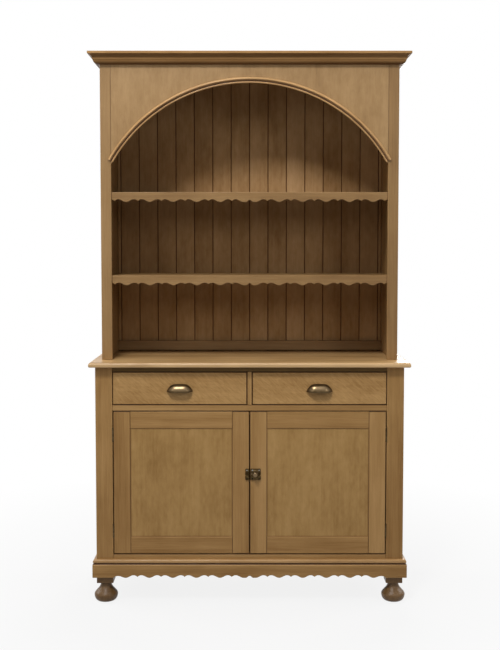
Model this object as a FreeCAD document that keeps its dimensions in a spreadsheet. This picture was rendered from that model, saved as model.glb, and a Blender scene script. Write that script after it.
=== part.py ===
"""Welsh dresser: a two-door, two-drawer base with an arched plate rack standing on it.

Millimetres. X runs to the viewer's right, the front faces -Y and Z is up. The origin is on the floor
at the middle of the worktop's outline.
"""
import FreeCAD, Part
import math
import os
import types

import Sketcher

DRIVING_SIZES = [
    ("worktop_width", 1188, "worktop, end to end"),
    ("worktop_depth", 430, "worktop, front to back"),
    ("worktop_thick", 18, "worktop board"),
    ("worktop_height", 905, "floor to worktop surface"),
    ("nosing_top", 9, "radius of the nosing's upper round"),
    ("nosing_low", 5, "radius of the nosing's lower round"),
    ("base_width", 1145, "base across its stiles"),
    ("front_overhang", 30, "worktop in front of the base"),
    ("board_thick", 18, "sides, floor and shelf of the base"),
    ("frame_thick", 22, "face frame members"),
    ("stile_width", 63, "base face stile"),
    ("top_rail_height", 18, "rail over the drawers"),
    ("drawer_opening", 124.5, "height of the drawer openings"),
    ("middle_rail_height", 21.5, "rail between drawers and doors"),
    ("bottom_rail_height", 72, "rail under the doors"),
    ("carcass_low", 110, "floor to the underside of the base"),
    ("muntin_width", 17, "upright between the drawers"),
    ("tenon_thick", 8, "tenons of the face frame and doors"),
    ("frame_tenon", 30, "tenon length in the face frame"),
    ("rail_shoulder", 4, "shoulder above and below a frame tenon"),
    ("muntin_tenon", 8, "stub tenon of the muntin"),
    ("back_thick", 10, "back boards"),
    ("base_board_width", 139, "back board of the base"),
    ("shelf_height", 455, "top of the cupboard shelf"),
    ("shelf_recess", 60, "cupboard shelf behind the frame"),
    ("shelf_play", 1, "free room at each end of the cupboard shelf"),
    ("cleat_height", 25, "cleat under the cupboard shelf"),
    ("cleat_thick", 18, "cleat under the cupboard shelf"),
    ("runner_lap", 22, "runner inside the drawer opening"),
    ("guide_height", 30, "drawer guide above its runner"),
    ("plinth_thick", 14, "plinth board"),
    ("plinth_low", 96, "floor to the plinth's lower edge"),
    ("plinth_height", 50, "plinth board, top to bottom"),
    ("plinth_moulding_height", 19, "moulding on the plinth"),
    ("plinth_bead", 4.4, "bead at the foot of the plinth moulding"),
    ("plinth_quirk", 2.6, "groove above that bead, height and depth"),
    ("plinth_fillet", 4, "flat above the groove"),
    ("plinth_ledge", 5, "flat top of the plinth moulding"),
    ("scallop_pitch", 88, "one lobe of a scalloped edge to the next"),
    ("scallop_first", 22.5, "middle of the edge to the nearest lobe"),
    ("scallop_height", 9.5, "depth of a scallop's notches"),
    ("scallop_cusp", 4, "cusp above the lowest part of the edge"),
    ("scallop_flat", 4, "half of the flat under a lobe"),
    ("lobe_half", 30.5, "middle of a lobe to its notch"),
    ("centre_notch", 9, "half width of the notch at mid length"),
    ("plinth_end", 64, "plain end of the plinth over a foot"),
    ("block_side", 62, "square foot block"),
    ("block_height", 38, "foot block, top to bottom"),
    ("bun_radius", 44, "bun foot at its belly"),
    ("bun_belly", 24, "floor to the belly"),
    ("bun_pad", 28, "radius of the foot on the floor"),
    ("bun_shoulder", 32, "radius at the bun's shoulder"),
    ("bun_shoulder_height", 45, "floor to the bun's shoulder"),
    ("bun_neck", 22, "radius of the neck under the block"),
    ("door_gap", 3, "room round the doors"),
    ("door_thick", 20, "door frame members"),
    ("door_member", 63, "width of a door stile or rail"),
    ("door_tenon", 40, "tenon length in the doors"),
    ("tenon_shoulder", 10, "shoulder beside a door tenon"),
    ("panel_thick", 8, "door panel"),
    ("panel_recess", 3, "door panel behind the door's face"),
    ("panel_groove", 9, "depth of the panel groove"),
    ("stop_gap", 0.3, "room between a door and its stop"),
    ("stop_height", 18, "door stop"),
    ("stop_depth", 16, "door stop, front to back"),
    ("stop_left", 60, "stop to the left of the middle"),
    ("stop_right", 40, "stop to the right of the middle"),
    ("hinge_length", 50, "butt hinge"),
    ("hinge_inset", 62, "door's end to the hinge"),
    ("leaf_thick", 1.5, "hinge leaf"),
    ("leaf_width", 17, "hinge leaf behind the door's face"),
    ("knuckle_radius", 3, "hinge knuckle"),
    ("knuckle_room", 0.4, "room round the knuckles and along them"),
    ("pin_radius", 1.5, "hinge pin"),
    ("pin_fit", 0.05, "hinge pin in its knuckles, on the radius"),
    ("pin_head", 1.2, "head at each end of the hinge pin"),
    ("pin_head_radius", 2.55, "head at each end of the hinge pin"),
    ("leaf_screw_inset", 12.5, "hinge leaf's end to its screws"),
    ("leaf_screw_depth", 10.2, "front of the hinge leaf to its screws"),
    ("screw_radius", 1.6, "screw shank"),
    ("screw_head", 3, "radius of a countersunk head"),
    ("screw_sink", 1.3, "depth of a countersunk head"),
    ("screw_length", 14, "screw, end to end"),
    ("drawer_gap", 2.2, "room round the drawers"),
    ("runner_gap", 0.3, "room between a drawer and its runner"),
    ("drawer_front_thick", 20, "drawer front"),
    ("drawer_side_thick", 12, "drawer sides and back"),
    ("drawer_length", 340, "drawer behind its front"),
    ("drawer_drop", 12, "drawer back below its sides"),
    ("drawer_bottom_thick", 6, "drawer bottom"),
    ("drawer_bottom_rise", 9, "drawer bottom above the runner"),
    ("drawer_groove", 6, "groove for the drawer bottom"),
    ("tail_length", 13, "dovetails into the drawer front"),
    ("tail_width", 24, "dovetail at its wide end"),
    ("tail_slope", 3, "how far each side of a dovetail leans in"),
    ("pull_width", 98, "cup pull"),
    ("pull_height", 27.5, "cup pull, lip to crown"),
    ("pull_reach", 24, "cup pull in front of the drawer"),
    ("pull_wall", 2.2, "cup pull casting"),
    ("pull_rise", 49, "drawer's lower edge to the pull's lip"),
    ("pull_post", 5, "radius of the posts in the pull"),
    ("pull_post_spread", 62, "one post to the other"),
    ("pull_post_rise", 9, "lip to the middle of a post"),
    ("pull_bolt_reach", 8, "pull's bolts in front of the drawer"),
    ("pull_bolt", 2, "radius of the pull's bolts"),
    ("pull_bolt_head", 4, "radius of the bolts' heads"),
    ("pull_bolt_head_thick", 3, "thickness of the bolts' heads"),
    ("latch_height", 485, "floor to the middle of the latch"),
    ("latch_tall", 42, "latch case and keep"),
    ("latch_start", 4.5, "middle of the base to the case"),
    ("latch_width", 37, "latch case"),
    ("latch_face", 2.4, "front plate of the case and keep"),
    ("latch_bolt_tall", 10, "latch bolt"),
    ("latch_bolt_thick", 4, "latch bolt"),
    ("latch_bolt_length", 27, "latch bolt"),
    ("latch_fit", 0.3, "room round the latch bolt"),
    ("latch_travel", 12, "travel of the latch bolt"),
    ("knob_centre", 21, "middle of the base to the knob"),
    ("knob_rise", 2, "knob above the middle of the latch"),
    ("knob_stem", 3, "radius of the knob's stem"),
    ("knob_radius", 10, "latch knob"),
    ("knob_reach", 25, "latch knob in front of the door"),
    ("knob_collar", 9, "door to the back of the knob"),
    ("knob_face", 6, "radius of the flats on the knob's front and back"),
    ("keep_start", 3.5, "middle of the base to the keep"),
    ("keep_width", 13, "latch keep"),
    ("inner_bolt_offset", 38, "middle of the base to the inner bolt"),
    ("inner_bolt_radius", 4, "inner bolt"),
    ("inner_bolt_length", 64, "inner bolt"),
    ("inner_bolt_stand", 7, "door's back to the inner bolt"),
    ("inner_bolt_fit", 0.3, "room round the inner bolt"),
    ("inner_bolt_gap", 1.5, "inner bolt below the stop"),
    ("inner_bolt_travel", 12, "travel of the inner bolt"),
    ("inner_plate_width", 22, "plate of the inner bolt"),
    ("inner_plate_thick", 2, "plate of the inner bolt"),
    ("inner_guide_height", 9, "guide on the plate of the inner bolt"),
    ("inner_knob_radius", 4.5, "knob of the inner bolt"),
    ("inner_knob_reach", 14, "knob behind the inner bolt's middle"),
    ("inner_knob_rise", 26, "foot of the inner bolt to its knob"),
    ("inner_screw_drop", 19, "top of the inner bolt to its plate's screws"),
    ("inner_screw_spread", 15.4, "one screw of that plate to the other"),
    ("rack_width", 1114, "rack across its stiles"),
    ("rack_setback", 102, "worktop's front edge to the rack"),
    ("rack_stile_width", 40, "rack stile"),
    ("rack_side_thick", 22, "rack side"),
    ("total_height", 2049, "floor to the top of the cornice"),
    ("top_board_thick", 18, "board on top of the rack"),
    ("cornice_height", 44, "cornice"),
    ("cornice_reach", 40, "cornice in front of the rack"),
    ("cornice_fillet", 9, "square edge at the cornice's top"),
    ("cornice_lip", 2, "set-back under the square edge"),
    ("cornice_waist", 24, "reach where the hollow ends"),
    ("cornice_hollow", 18, "height of the hollow"),
    ("cornice_step", 2, "step between hollow and round"),
    ("cornice_foot", 6, "reach at the cornice's foot"),
    ("frieze_crown", 90, "frieze board over the top of the arch"),
    ("arch_end_rise", 8, "foot of the arch to the ends of its moulding"),
    ("arch_bead_lap", 3, "arch moulding inside the arch"),
    ("arch_bead", 7, "inner bead of the arch moulding"),
    ("arch_groove", 2, "groove beside that bead"),
    ("arch_round", 12, "outer round of the arch moulding"),
    ("arch_reach", 8, "outer round in front of the rack"),
    ("arch_bead_reach", 5, "inner bead in front of the rack"),
    ("arch_groove_reach", 3, "floor of the groove in front of the rack"),
    ("rack_shelf_thick", 18, "rack shelves"),
    ("shelf_housing", 6, "shelf let into the rack sides"),
    ("edging_height", 37, "scalloped edging of a shelf"),
    ("edging_thick", 16, "scalloped edging of a shelf"),
    ("rack_board_width", 74.5, "back board of the rack"),
    ("board_bevel", 2.5, "bevel on a back board's edges"),
    ("back_rail_height", 38, "rail at the foot of the rack's back"),
    ("back_rail_thick", 18, "rail at the foot of the rack's back"),
    ("back_rail_gap", 5, "rail above the worktop"),
    ("dowel_radius", 5, "dowels under the rack"),
    ("dowel_sink", 12, "dowel in the worktop"),
    ("dowel_rise", 20, "dowel in the rack side"),
    ("dowel_inset", 70, "rack side's end to a dowel"),
]

doc = FreeCAD.newDocument("welsh_dresser")
sheet = doc.addObject("Spreadsheet::Sheet", "Sizes")
for row, (alias, millimetres, note) in enumerate(DRIVING_SIZES, start=1):
    sheet.set(f"A{row}", note)
    sheet.set(f"B{row}", str(millimetres))
    sheet.setAlias(f"B{row}", alias)
doc.recompute()


class Size:
    """A length in millimetres that also carries the sheet formula it is worked out by."""

    def __init__(self, formula, value):
        self.formula = formula
        self.value = value

    def joined(self, sign, other, value):
        return Size(f"({self.formula} {sign} {text(other)})", value)

    def __add__(self, other):
        return self.joined("+", other, self.value + number(other))

    def __sub__(self, other):
        return self.joined("-", other, self.value - number(other))

    def __mul__(self, other):
        return self.joined("*", other, self.value * number(other))

    def __truediv__(self, other):
        return self.joined("/", other, self.value / number(other))

    def __radd__(self, other):
        return Size(f"({other} + {self.formula})", other + self.value)

    def __rsub__(self, other):
        return Size(f"({other} - {self.formula})", other - self.value)

    def __neg__(self):
        return Size(f"(0 - {self.formula})", -self.value)


def text(length):
    """The formula of a length, or the length itself where it is a plain number."""
    return length.formula if isinstance(length, Size) else repr(length)


def number(length):
    """The value of a length in millimetres."""
    return float(length.value if isinstance(length, Size) else length)


size = types.SimpleNamespace(
    **{alias: Size(f"Sizes.{alias}", float(sheet.get(alias))) for alias, millimetres, note in DRIVING_SIZES}
)
nodes = []
TOUCH = 1e-6


def place(piece, x, y, z):
    """Bind a piece's position to three lengths."""
    for axis, length in zip("xyz", (x, y, z)):
        piece.setExpression(f"Placement.Base.{axis}", text(length))
    return piece


def board(name, x, y, z):
    """A plain board between three pairs of faces."""
    piece = doc.addObject("Part::Box", name)
    for side, (low, high) in zip(("Length", "Width", "Height"), (x, y, z)):
        piece.setExpression(side, text(high - low))
    return place(piece, x[0], y[0], z[0])


def rod(name, radius, along, start, length):
    """A round rod from a point, along one of the axes."""
    piece = doc.addObject("Part::Cylinder", name)
    piece.Placement.Rotation = FreeCAD.Rotation(FreeCAD.Vector(0, 0, 1), FreeCAD.Vector(*along))
    piece.setExpression("Radius", text(radius))
    piece.setExpression("Height", text(length))
    return place(piece, *start)


def cone(name, wide, narrow, along, start, length):
    """A cone from its wide end at a point, along one of the axes."""
    piece = doc.addObject("Part::Cone", name)
    piece.Placement.Rotation = FreeCAD.Rotation(FreeCAD.Vector(0, 0, 1), FreeCAD.Vector(*along))
    piece.setExpression("Radius1", text(wide))
    piece.setExpression("Radius2", text(narrow))
    piece.setExpression("Height", text(length))
    return place(piece, *start)


def cut(name, base, *tools):
    """A piece with each of the tools' shapes taken out of it."""
    for index, tool in enumerate(tools):
        last = index == len(tools) - 1
        piece = doc.addObject("Part::Cut", name if last else f"{name}_cut_{index}")
        piece.Base = base
        piece.Tool = tool
        base = piece
    return base


def fuse(name, *pieces):
    """One piece made of several shapes that meet or overlap."""
    piece = doc.addObject("Part::MultiFuse", name)
    piece.Shapes = list(pieces)
    piece.Refine = True
    return piece


def common(name, first, second):
    """The part of the first shape that lies in the second."""
    piece = doc.addObject("Part::Common", name)
    piece.Base = first
    piece.Tool = second
    return piece


def group(name, pieces):
    """Several like pieces, each still a solid of its own."""
    piece = doc.addObject("Part::Compound", name)
    piece.Links = list(pieces)
    return piece


def node(name, piece):
    """Name a finished sub-part."""
    piece.Label = name
    nodes.append(piece)
    return piece


def draw(body, name, role, offset, points):
    """Draw a closed outline on one of a body's planes, with every point bound to the sheet.

    A point (x, y) ends a straight line. A point (middle x, middle y, x, y) ends an arc through its middle.
    """
    sketch = body.newObject("Sketcher::SketchObject", name)
    sketch.AttachmentSupport = [(next(p for p in body.Origin.OriginFeatures if p.Role == role), "")]
    sketch.MapMode = "FlatFace"
    sketch.setExpression("AttachmentOffset.Base.z", text(offset))
    vectors = [[FreeCAD.Vector(number(p[i]), number(p[i + 1]), 0) for i in range(0, len(p), 2)]
               for p in points]
    starts = [vectors[index - 1][-1] for index in range(len(points))]
    for start, through in zip(starts, vectors):
        curve = Part.Arc if len(through) == 2 else Part.LineSegment
        sketch.addGeometry(curve(start, *through), False)
    first_ends = [1 if sketch.getPoint(i, 1).distanceToPoint(start) < TOUCH else 2
                  for i, start in enumerate(starts)]
    rules = []
    bound = {}
    for index, point in enumerate(points):
        following = (index + 1) % len(points)
        last_end = 3 - first_ends[index]
        rules.append(Sketcher.Constraint("Coincident", index, last_end, following, first_ends[following]))
        pins = [(index, last_end, point[-2], point[-1])]
        if len(point) == 4:
            middle = sketch.addGeometry(Part.Point(vectors[index][0]), True)
            rules.append(Sketcher.Constraint("PointOnObject", middle, 1, index))
            pins.append((middle, 1, point[0], point[1]))
        for geometry, end, x, y in pins:
            for kind, length in (("DistanceX", x), ("DistanceY", y)):
                bound[len(rules)] = length
                rules.append(Sketcher.Constraint(kind, -1, 1, geometry, end, number(length)))
    sketch.addConstraint(rules)
    for index, length in bound.items():
        if isinstance(length, Size):
            sketch.renameConstraint(index, f"pin{index}")
            sketch.setExpression(f"Constraints.pin{index}", text(length))
    return sketch


def shaped(name, role, points, low, high):
    """A piece of constant section: an outline on one plane, carried from low to high across it."""
    body = doc.addObject("PartDesign::Body", name)
    offset = -high if role == "XZ_Plane" else low
    pad = body.newObject("PartDesign::Pad", f"{name}_pad")
    pad.Profile = draw(body, f"{name}_outline", role, offset, points)
    pad.setExpression("Length", text(high - low))
    body.Tip = pad
    return body


def turned(name, role, points, axis="V_Axis", angle="360"):
    """A turned piece: an outline spun round an axis of its sketch, half of the angle to each side."""
    body = doc.addObject("PartDesign::Body", name)
    sketch = draw(body, f"{name}_outline", role, 0, points)
    spin = body.newObject("PartDesign::Revolution", f"{name}_spin")
    spin.Profile = sketch
    spin.ReferenceAxis = (sketch, [axis])
    spin.Midplane = True
    spin.setExpression("Angle", angle)
    body.Tip = spin
    return body


def notched(body, name, role, points, spacing=None, count=None, backwards=False):
    """Cut an outline right through a body, once or in a row of copies along the sketch's X axis."""
    doc.recompute()
    before = body.Shape.Volume
    sketch = draw(body, f"{name}_outline", role, 0, points)
    pocket = body.newObject("PartDesign::Pocket", name)
    pocket.Profile = sketch
    pocket.Type = "ThroughAll"
    pocket.SideType = "Symmetric"
    body.Tip = pocket
    if count:
        doc.recompute()
        row = body.newObject("PartDesign::LinearPattern", f"{name}_row")
        row.Originals = [pocket]
        row.Direction = (sketch, ["H_Axis"])
        row.Reversed = backwards
        row.Mode = "Spacing"
        row.setExpression("Offset", text(spacing))
        row.setExpression("Occurrences", count)
        body.Tip = row
    doc.recompute()
    if body.Shape.Volume >= before:
        raise RuntimeError(f"{name} cuts nothing")


def bowed(start, end, run, rise):
    """An arc's middle and end: it passes these shares of the way across and up from start to end."""
    return tuple(a + (b - a) * share for a, b, share in zip(start, end, (run, rise))) + end


def across(side, near, far):
    """A pair of X values on the left (-1) or right (1), the lower first."""
    return (near, far) if side > 0 else (-far, -near)


SIDES = {"left": -1, "right": 1}
front = size.front_overhang - size.worktop_depth / 2
rear = size.worktop_depth / 2
frame_back = front + size.frame_thick
back_face = rear - size.back_thick
under_top = size.worktop_height - size.worktop_thick
half_base = size.base_width / 2
base_inner = half_base - size.board_thick
opening = half_base - size.stile_width
drawer_top = under_top - size.top_rail_height
drawer_low = drawer_top - size.drawer_opening
door_ceiling = drawer_low - size.middle_rail_height
door_sill = size.carcass_low + size.bottom_rail_height
half_muntin = size.muntin_width / 2
tenon_front = front + (size.frame_thick - size.tenon_thick) / 2
tenon_depth = (tenon_front, tenon_front + size.tenon_thick)
frame_depth = (front, frame_back)
inside_depth = (frame_back, back_face)

half_rack = size.rack_width / 2
rack_opening = half_rack - size.rack_stile_width
rack_inner = half_rack - size.rack_side_thick
rack_front = size.rack_setback - size.worktop_depth / 2
rack_frame_back = rack_front + size.frame_thick
rack_ceiling = size.total_height - size.top_board_thick


# Where the curves of a scallop pass between its lobe, notch and cusp, as shares of their run and rise.
FLANK_OUT = 0.6
FLANK_UP = 0.33
CURL_OUT = 0.67
CURL_DOWN = 0.125
CENTRE_RISE = 0.8
END_FLAT = 0.1
END_NOTCH = 0.66


def scalloped(body, name, low, length_half, plain_end=False):
    """Cut the scallops of a lower edge: lobes with pointed cusps between them, mirrored about the middle.

    Each copy starts at the flat under one lobe and ends at the flat under the next. A plain end leaves
    half a scallop over, which rises from the last lobe to a notch and falls to the plain edge.
    """
    high = low + size.scallop_height
    cusp = low + size.scallop_cusp
    below = low - size.scallop_flat
    rise = low + size.scallop_height * FLANK_UP
    curl = high - size.scallop_height * CURL_DOWN
    lobes = (length_half - size.scallop_first) / size.scallop_pitch
    fits = Size(f"floor({lobes.formula})", math.floor(lobes.value))
    for side in (1, -1):
        lobe = size.scallop_first * side
        following = lobe + size.scallop_pitch * side
        middle = lobe + size.scallop_pitch * (side / 2)
        edge_in = lobe + size.scallop_flat * side
        edge_out = following - size.scallop_flat * side
        notch_in = lobe + size.lobe_half * side
        notch_out = following - size.lobe_half * side
        flank_in = lobe + size.lobe_half * (side * FLANK_OUT)
        flank_out = following - size.lobe_half * (side * FLANK_OUT)
        curl_in = notch_in + (middle - notch_in) * CURL_OUT
        curl_out = notch_out + (middle - notch_out) * CURL_OUT
        outline = [
            (edge_in, below),
            (edge_in, low),
            (flank_in, rise, notch_in, high),
            (curl_in, curl, middle, cusp),
            (curl_out, curl, notch_out, high),
            (flank_out, rise, edge_out, low),
            (edge_out, below),
        ]
        word = "right" if side > 0 else "left"
        notched(body, f"{name}_{word}", "XZ_Plane", outline, size.scallop_pitch, text(fits), side < 0)
        if plain_end:
            last = (size.scallop_first + fits * size.scallop_pitch) * side
            end = length_half * side
            flat = last + (end - last) * END_FLAT
            top = last + (end - last) * END_NOTCH
            outline = [
                (flat, below),
                (flat, low),
                (flat + (top - flat) * FLANK_OUT, rise, top, high),
                (top + (end - top) * CURL_OUT, curl, end, low),
                (end, below),
            ]
            notched(body, f"{name}_{word}_end", "XZ_Plane", outline)
    notch = [
        (size.centre_notch, below),
        (size.centre_notch, low),
        (0, low + size.scallop_height * CENTRE_RISE, -size.centre_notch, low),
        (-size.centre_notch, below),
    ]
    notched(body, f"{name}_middle", "XZ_Plane", notch)


def mitred(name, half_width, face, reach, heights, front_piece, side_pieces):
    """Cut a front length and two side lengths to meet at 45 degrees on the outer corners."""
    room = reach * 2
    heights = (heights[0] - room, heights[1] + room)
    front_cuts = []
    ends = []
    for word, side in SIDES.items():
        corner = (half_width * side, face)
        outer = (half_width * side + room * side, face - room)
        beside = (half_width * side + room * side, face)
        ahead = (half_width * side, face - room)
        front_cuts.append(shaped(f"{name}_{word}_front_mitre", "XY_Plane", [corner, beside, outer], *heights))
        side_cut = shaped(f"{name}_{word}_side_mitre", "XY_Plane", [corner, outer, ahead], *heights)
        ends.append(cut(f"{name}_{word}", side_pieces[word], side_cut))
    return [cut(f"{name}_front", front_piece, *front_cuts)] + ends


def surround(name, half_width, face, reach, low, section):
    """A moulding round the front and both sides. The section is (reach, height) points and arc middles."""
    high = low + section["height"]
    ahead = [tuple(face - v if i % 2 == 0 else low + v for i, v in enumerate(p)) for p in section["points"]]
    front_piece = shaped(f"{name}_front_blank", "YZ_Plane", ahead, -half_width - reach, half_width + reach)
    side_pieces = {}
    for word, side in SIDES.items():
        beside = [tuple((half_width + v) * side if i % 2 == 0 else low + v for i, v in enumerate(p))
                  for p in section["points"]]
        side_pieces[word] = shaped(f"{name}_{word}_blank", "XZ_Plane", beside, face - reach, rear)
    return mitred(name, half_width, face, reach, (low, high), front_piece, side_pieces)


# Dowels stand in the worktop and locate the rack's sides.
dowels = []
for word, side in SIDES.items():
    for index, y in enumerate((rack_frame_back + size.dowel_inset, rear - size.dowel_inset)):
        start = ((half_rack - size.rack_side_thick / 2) * side, y, size.worktop_height - size.dowel_sink)
        dowels.append(rod(f"dowel_{word}_{index}", size.dowel_radius, (0, 0, 1), start,
                          size.dowel_sink + size.dowel_rise))
rack_dowels = node("rack_dowels", group("rack_dowels", dowels))

# The worktop overhangs the base at the front and ends, with a rounded nosing there.
half_top = size.worktop_width / 2
slab = shaped("worktop_slab", "XY_Plane",
              [(-half_top, -rear), (half_top, -rear), (half_top, rear), (-half_top, rear)],
              under_top, size.worktop_height)
doc.recompute()
nosings = (("top", size.worktop_height, size.nosing_top), ("low", under_top, size.nosing_low))
for word, height, radius in nosings:
    base = slab.Tip
    names = []
    for index, edge in enumerate(base.Shape.Edges, start=1):
        middle = edge.BoundBox.Center
        level = abs(middle.z - number(height)) < TOUCH and edge.BoundBox.ZLength < TOUCH
        nosed = edge.BoundBox.YMin < number(rear) - TOUCH and edge.Length > number(rear)
        if level and nosed:
            names.append(f"Edge{index}")
    nosing = slab.newObject("PartDesign::Fillet", f"nosing_{word}")
    nosing.Base = (base, names)
    nosing.setExpression("Radius", text(radius))
    slab.Tip = nosing
    doc.recompute()
node("worktop", cut("worktop", slab, rack_dowels))

# The face frame of the base: rails and a muntin tenoned together, and tenoned into the stiles.
muntin = fuse(
    "drawer_muntin",
    board("muntin_board", (-half_muntin, half_muntin), frame_depth, (drawer_low, drawer_top)),
    board("muntin_tongue", (-half_muntin, half_muntin), tenon_depth,
          (drawer_low - size.muntin_tenon, drawer_top + size.muntin_tenon)),
)
node("drawer_muntin", muntin)
rail_heights = {
    "base_top_rail": (drawer_top, under_top),
    "base_middle_rail": (door_ceiling, drawer_low),
    "base_bottom_rail": (size.carcass_low, door_sill),
}
rails = []
for name, (low, high) in rail_heights.items():
    reach = opening + size.frame_tenon
    tongue = (low + size.rail_shoulder, high - size.rail_shoulder)
    rail = fuse(f"{name}_blank", board(f"{name}_board", (-opening, opening), frame_depth, (low, high)),
                board(f"{name}_tongue", (-reach, reach), tenon_depth, tongue))
    rails.append(rail if name == "base_bottom_rail" else cut(name, rail, muntin))
    node(name, rails[-1])
all_rails = group("base_rails_together", rails)

# Butt hinges: the pin and the outer knuckles stay with the frame, the middle knuckle goes with the door.
axis_x = opening - size.door_gap / 2
hinge_lows = {
    "lower": door_sill + size.door_gap + size.hinge_inset,
    "upper": door_ceiling - size.door_gap - size.hinge_inset - size.hinge_length,
}
third = size.hinge_length / 3
HINGE_PIECES = ("frame", "door", "pins", "frame_screws", "door_screws", "room")
hinge = {word: {piece: [] for piece in HINGE_PIECES} for word in SIDES}


def screw(name, along, start):
    """A countersunk screw whose head is flush with the surface at its start."""
    head = cone(f"{name}_head", size.screw_head, size.screw_radius, along, start, size.screw_sink)
    shank = rod(f"{name}_shank", size.screw_radius, along, start, size.screw_length)
    return fuse(name, head, shank)


for word, side in SIDES.items():
    for place_word, low in hinge_lows.items():
        name = f"{word}_{place_word}_hinge"
        high = low + size.hinge_length
        bounds = [low, low + third, high - third, high]
        centre = axis_x * side
        frame_leaf = board(f"{name}_frame_leaf", across(side, opening, opening + size.leaf_thick),
                           (front, front + size.leaf_width), (low, high))
        door_edge = opening - size.door_gap
        door_leaf = board(f"{name}_door_leaf", across(side, door_edge - size.leaf_thick, door_edge),
                          (front, front + size.leaf_width), (low, high))
        room_radius = size.knuckle_radius + size.knuckle_room
        middle_room = rod(f"{name}_middle_room", room_radius, (0, 0, 1), (centre, front, bounds[1]), third)
        outer_rooms = group(f"{name}_outer_rooms", [
            rod(f"{name}_outer_room_{i}", room_radius, (0, 0, 1),
                (centre, front, start - size.knuckle_room), third + size.knuckle_room * 2)
            for i, start in enumerate((bounds[0], bounds[2]))])
        bore = rod(f"{name}_bore", size.pin_radius + size.pin_fit, (0, 0, 1),
                   (centre, front, low - size.knuckle_room), size.hinge_length + size.knuckle_room * 2)
        outer = [rod(f"{name}_outer_{i}", size.knuckle_radius, (0, 0, 1), (centre, front, start), third)
                 for i, start in enumerate((bounds[0], bounds[2]))]
        middle = rod(f"{name}_middle", size.knuckle_radius, (0, 0, 1),
                     (centre, front, bounds[1] + size.knuckle_room), third - size.knuckle_room * 2)
        screws = {"frame": [], "door": []}
        for index, z in enumerate((low + size.leaf_screw_inset, high - size.leaf_screw_inset)):
            y = front + size.leaf_screw_depth
            frame_spot = (opening * side, y, z)
            door_spot = (door_edge * side, y, z)
            screws["frame"].append(screw(f"{name}_frame_screw_{index}", (side, 0, 0), frame_spot))
            screws["door"].append(screw(f"{name}_door_screw_{index}", (-side, 0, 0), door_spot))
        cleared = cut(f"{name}_frame_plate", frame_leaf, middle_room)
        frame_half = fuse(f"{name}_frame_fused", cleared, *outer)
        hinge[word]["frame"].append(cut(f"{name}_frame_half", frame_half, bore,
                                        group(f"{name}_frame_screws", screws["frame"])))
        cleared = cut(f"{name}_door_plate", door_leaf, outer_rooms)
        door_half = fuse(f"{name}_door_fused", cleared, middle)
        hinge[word]["door"].append(cut(f"{name}_door_half", door_half, bore,
                                       group(f"{name}_door_screws", screws["door"])))
        shaft = rod(f"{name}_shaft", size.pin_radius, (0, 0, 1), (centre, front, low), size.hinge_length)
        heads = [rod(f"{name}_pin_head_{i}", size.pin_head_radius, (0, 0, 1), (centre, front, z),
                     size.pin_head) for i, z in enumerate((low - size.pin_head, high))]
        hinge[word]["pins"].append(fuse(f"{name}_pin", shaft, *heads))
        clear_end = size.pin_head + size.knuckle_room
        room_start = (centre, front, low - clear_end)
        hinge[word]["room"].append(rod(f"{name}_room", room_radius, (0, 0, 1), room_start,
                                       size.hinge_length + clear_end * 2))
        hinge[word]["frame_screws"] += screws["frame"]
        hinge[word]["door_screws"] += screws["door"]
both = [hinge[word] for word in SIDES]
frame_leaves = node("hinge_frame_leaves", group("hinge_frame_leaves", both[0]["frame"] + both[1]["frame"]))
node("hinge_pins", group("hinge_pins", both[0]["pins"] + both[1]["pins"]))
frame_screws = node("hinge_frame_screws",
                    group("hinge_frame_screws", both[0]["frame_screws"] + both[1]["frame_screws"]))
hinge_rooms = group("hinge_rooms", both[0]["room"] + both[1]["room"])

# Base stiles, mortised for the rails and let in for the hinges.
stiles = []
for word, side in SIDES.items():
    blank = board(f"base_{word}_stile_blank", across(side, opening, half_base), frame_depth,
                  (size.carcass_low, under_top))
    stiles.append(cut(f"base_{word}_stile", blank, all_rails, hinge_rooms, frame_leaves, frame_screws))
node("base_stiles", group("base_stiles", stiles))

# Carcass of the base: sides, floor, shelf on cleats, back boards.
carcass_rise = (size.carcass_low, under_top)
base_sides = [board(f"base_{word}_side", across(side, base_inner, half_base), (frame_back, rear),
                    carcass_rise) for word, side in SIDES.items()]
node("base_sides", group("base_sides", base_sides))
node("cupboard_floor", board("cupboard_floor", (-base_inner, base_inner), inside_depth,
                             (door_sill - size.board_thick, door_sill)))
shelf_low = size.shelf_height - size.board_thick
shelf_depth = (frame_back + size.shelf_recess, back_face)
shelf_end = base_inner - size.shelf_play
node("cupboard_shelf", board("cupboard_shelf", (-shelf_end, shelf_end), shelf_depth,
                             (shelf_low, size.shelf_height)))
cleats = [board(f"cleat_{word}", across(side, base_inner - size.cleat_thick, base_inner), shelf_depth,
                (shelf_low - size.cleat_height, shelf_low)) for word, side in SIDES.items()]
node("shelf_cleats", group("shelf_cleats", cleats))


def backing(name, half_width, width, depth, heights):
    """Upright back boards, bevelled along their front edges, laid out from the middle to both sides."""
    least_strip = size.board_bevel * 3
    full = int(number(half_width - least_strip) / number(width))
    edges = [width * step for step in range(full + 1)] + [half_width]
    boards = []
    for word, side in SIDES.items():
        for index, (near, far) in enumerate(zip(edges, edges[1:])):
            low, high = across(side, near, far)
            face, back = depth
            outline = [
                (low + size.board_bevel, face),
                (high - size.board_bevel, face),
                (high, face + size.board_bevel),
                (high, back),
                (low, back),
                (low, face + size.board_bevel),
            ]
            boards.append(shaped(f"{name}_{word}_{index}", "XY_Plane", outline, *heights))
    return group(name, boards)


back_depth = (back_face, rear)
node("base_back_boards", backing("base_back_boards", base_inner, size.base_board_width,
                                 back_depth, carcass_rise))

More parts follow.
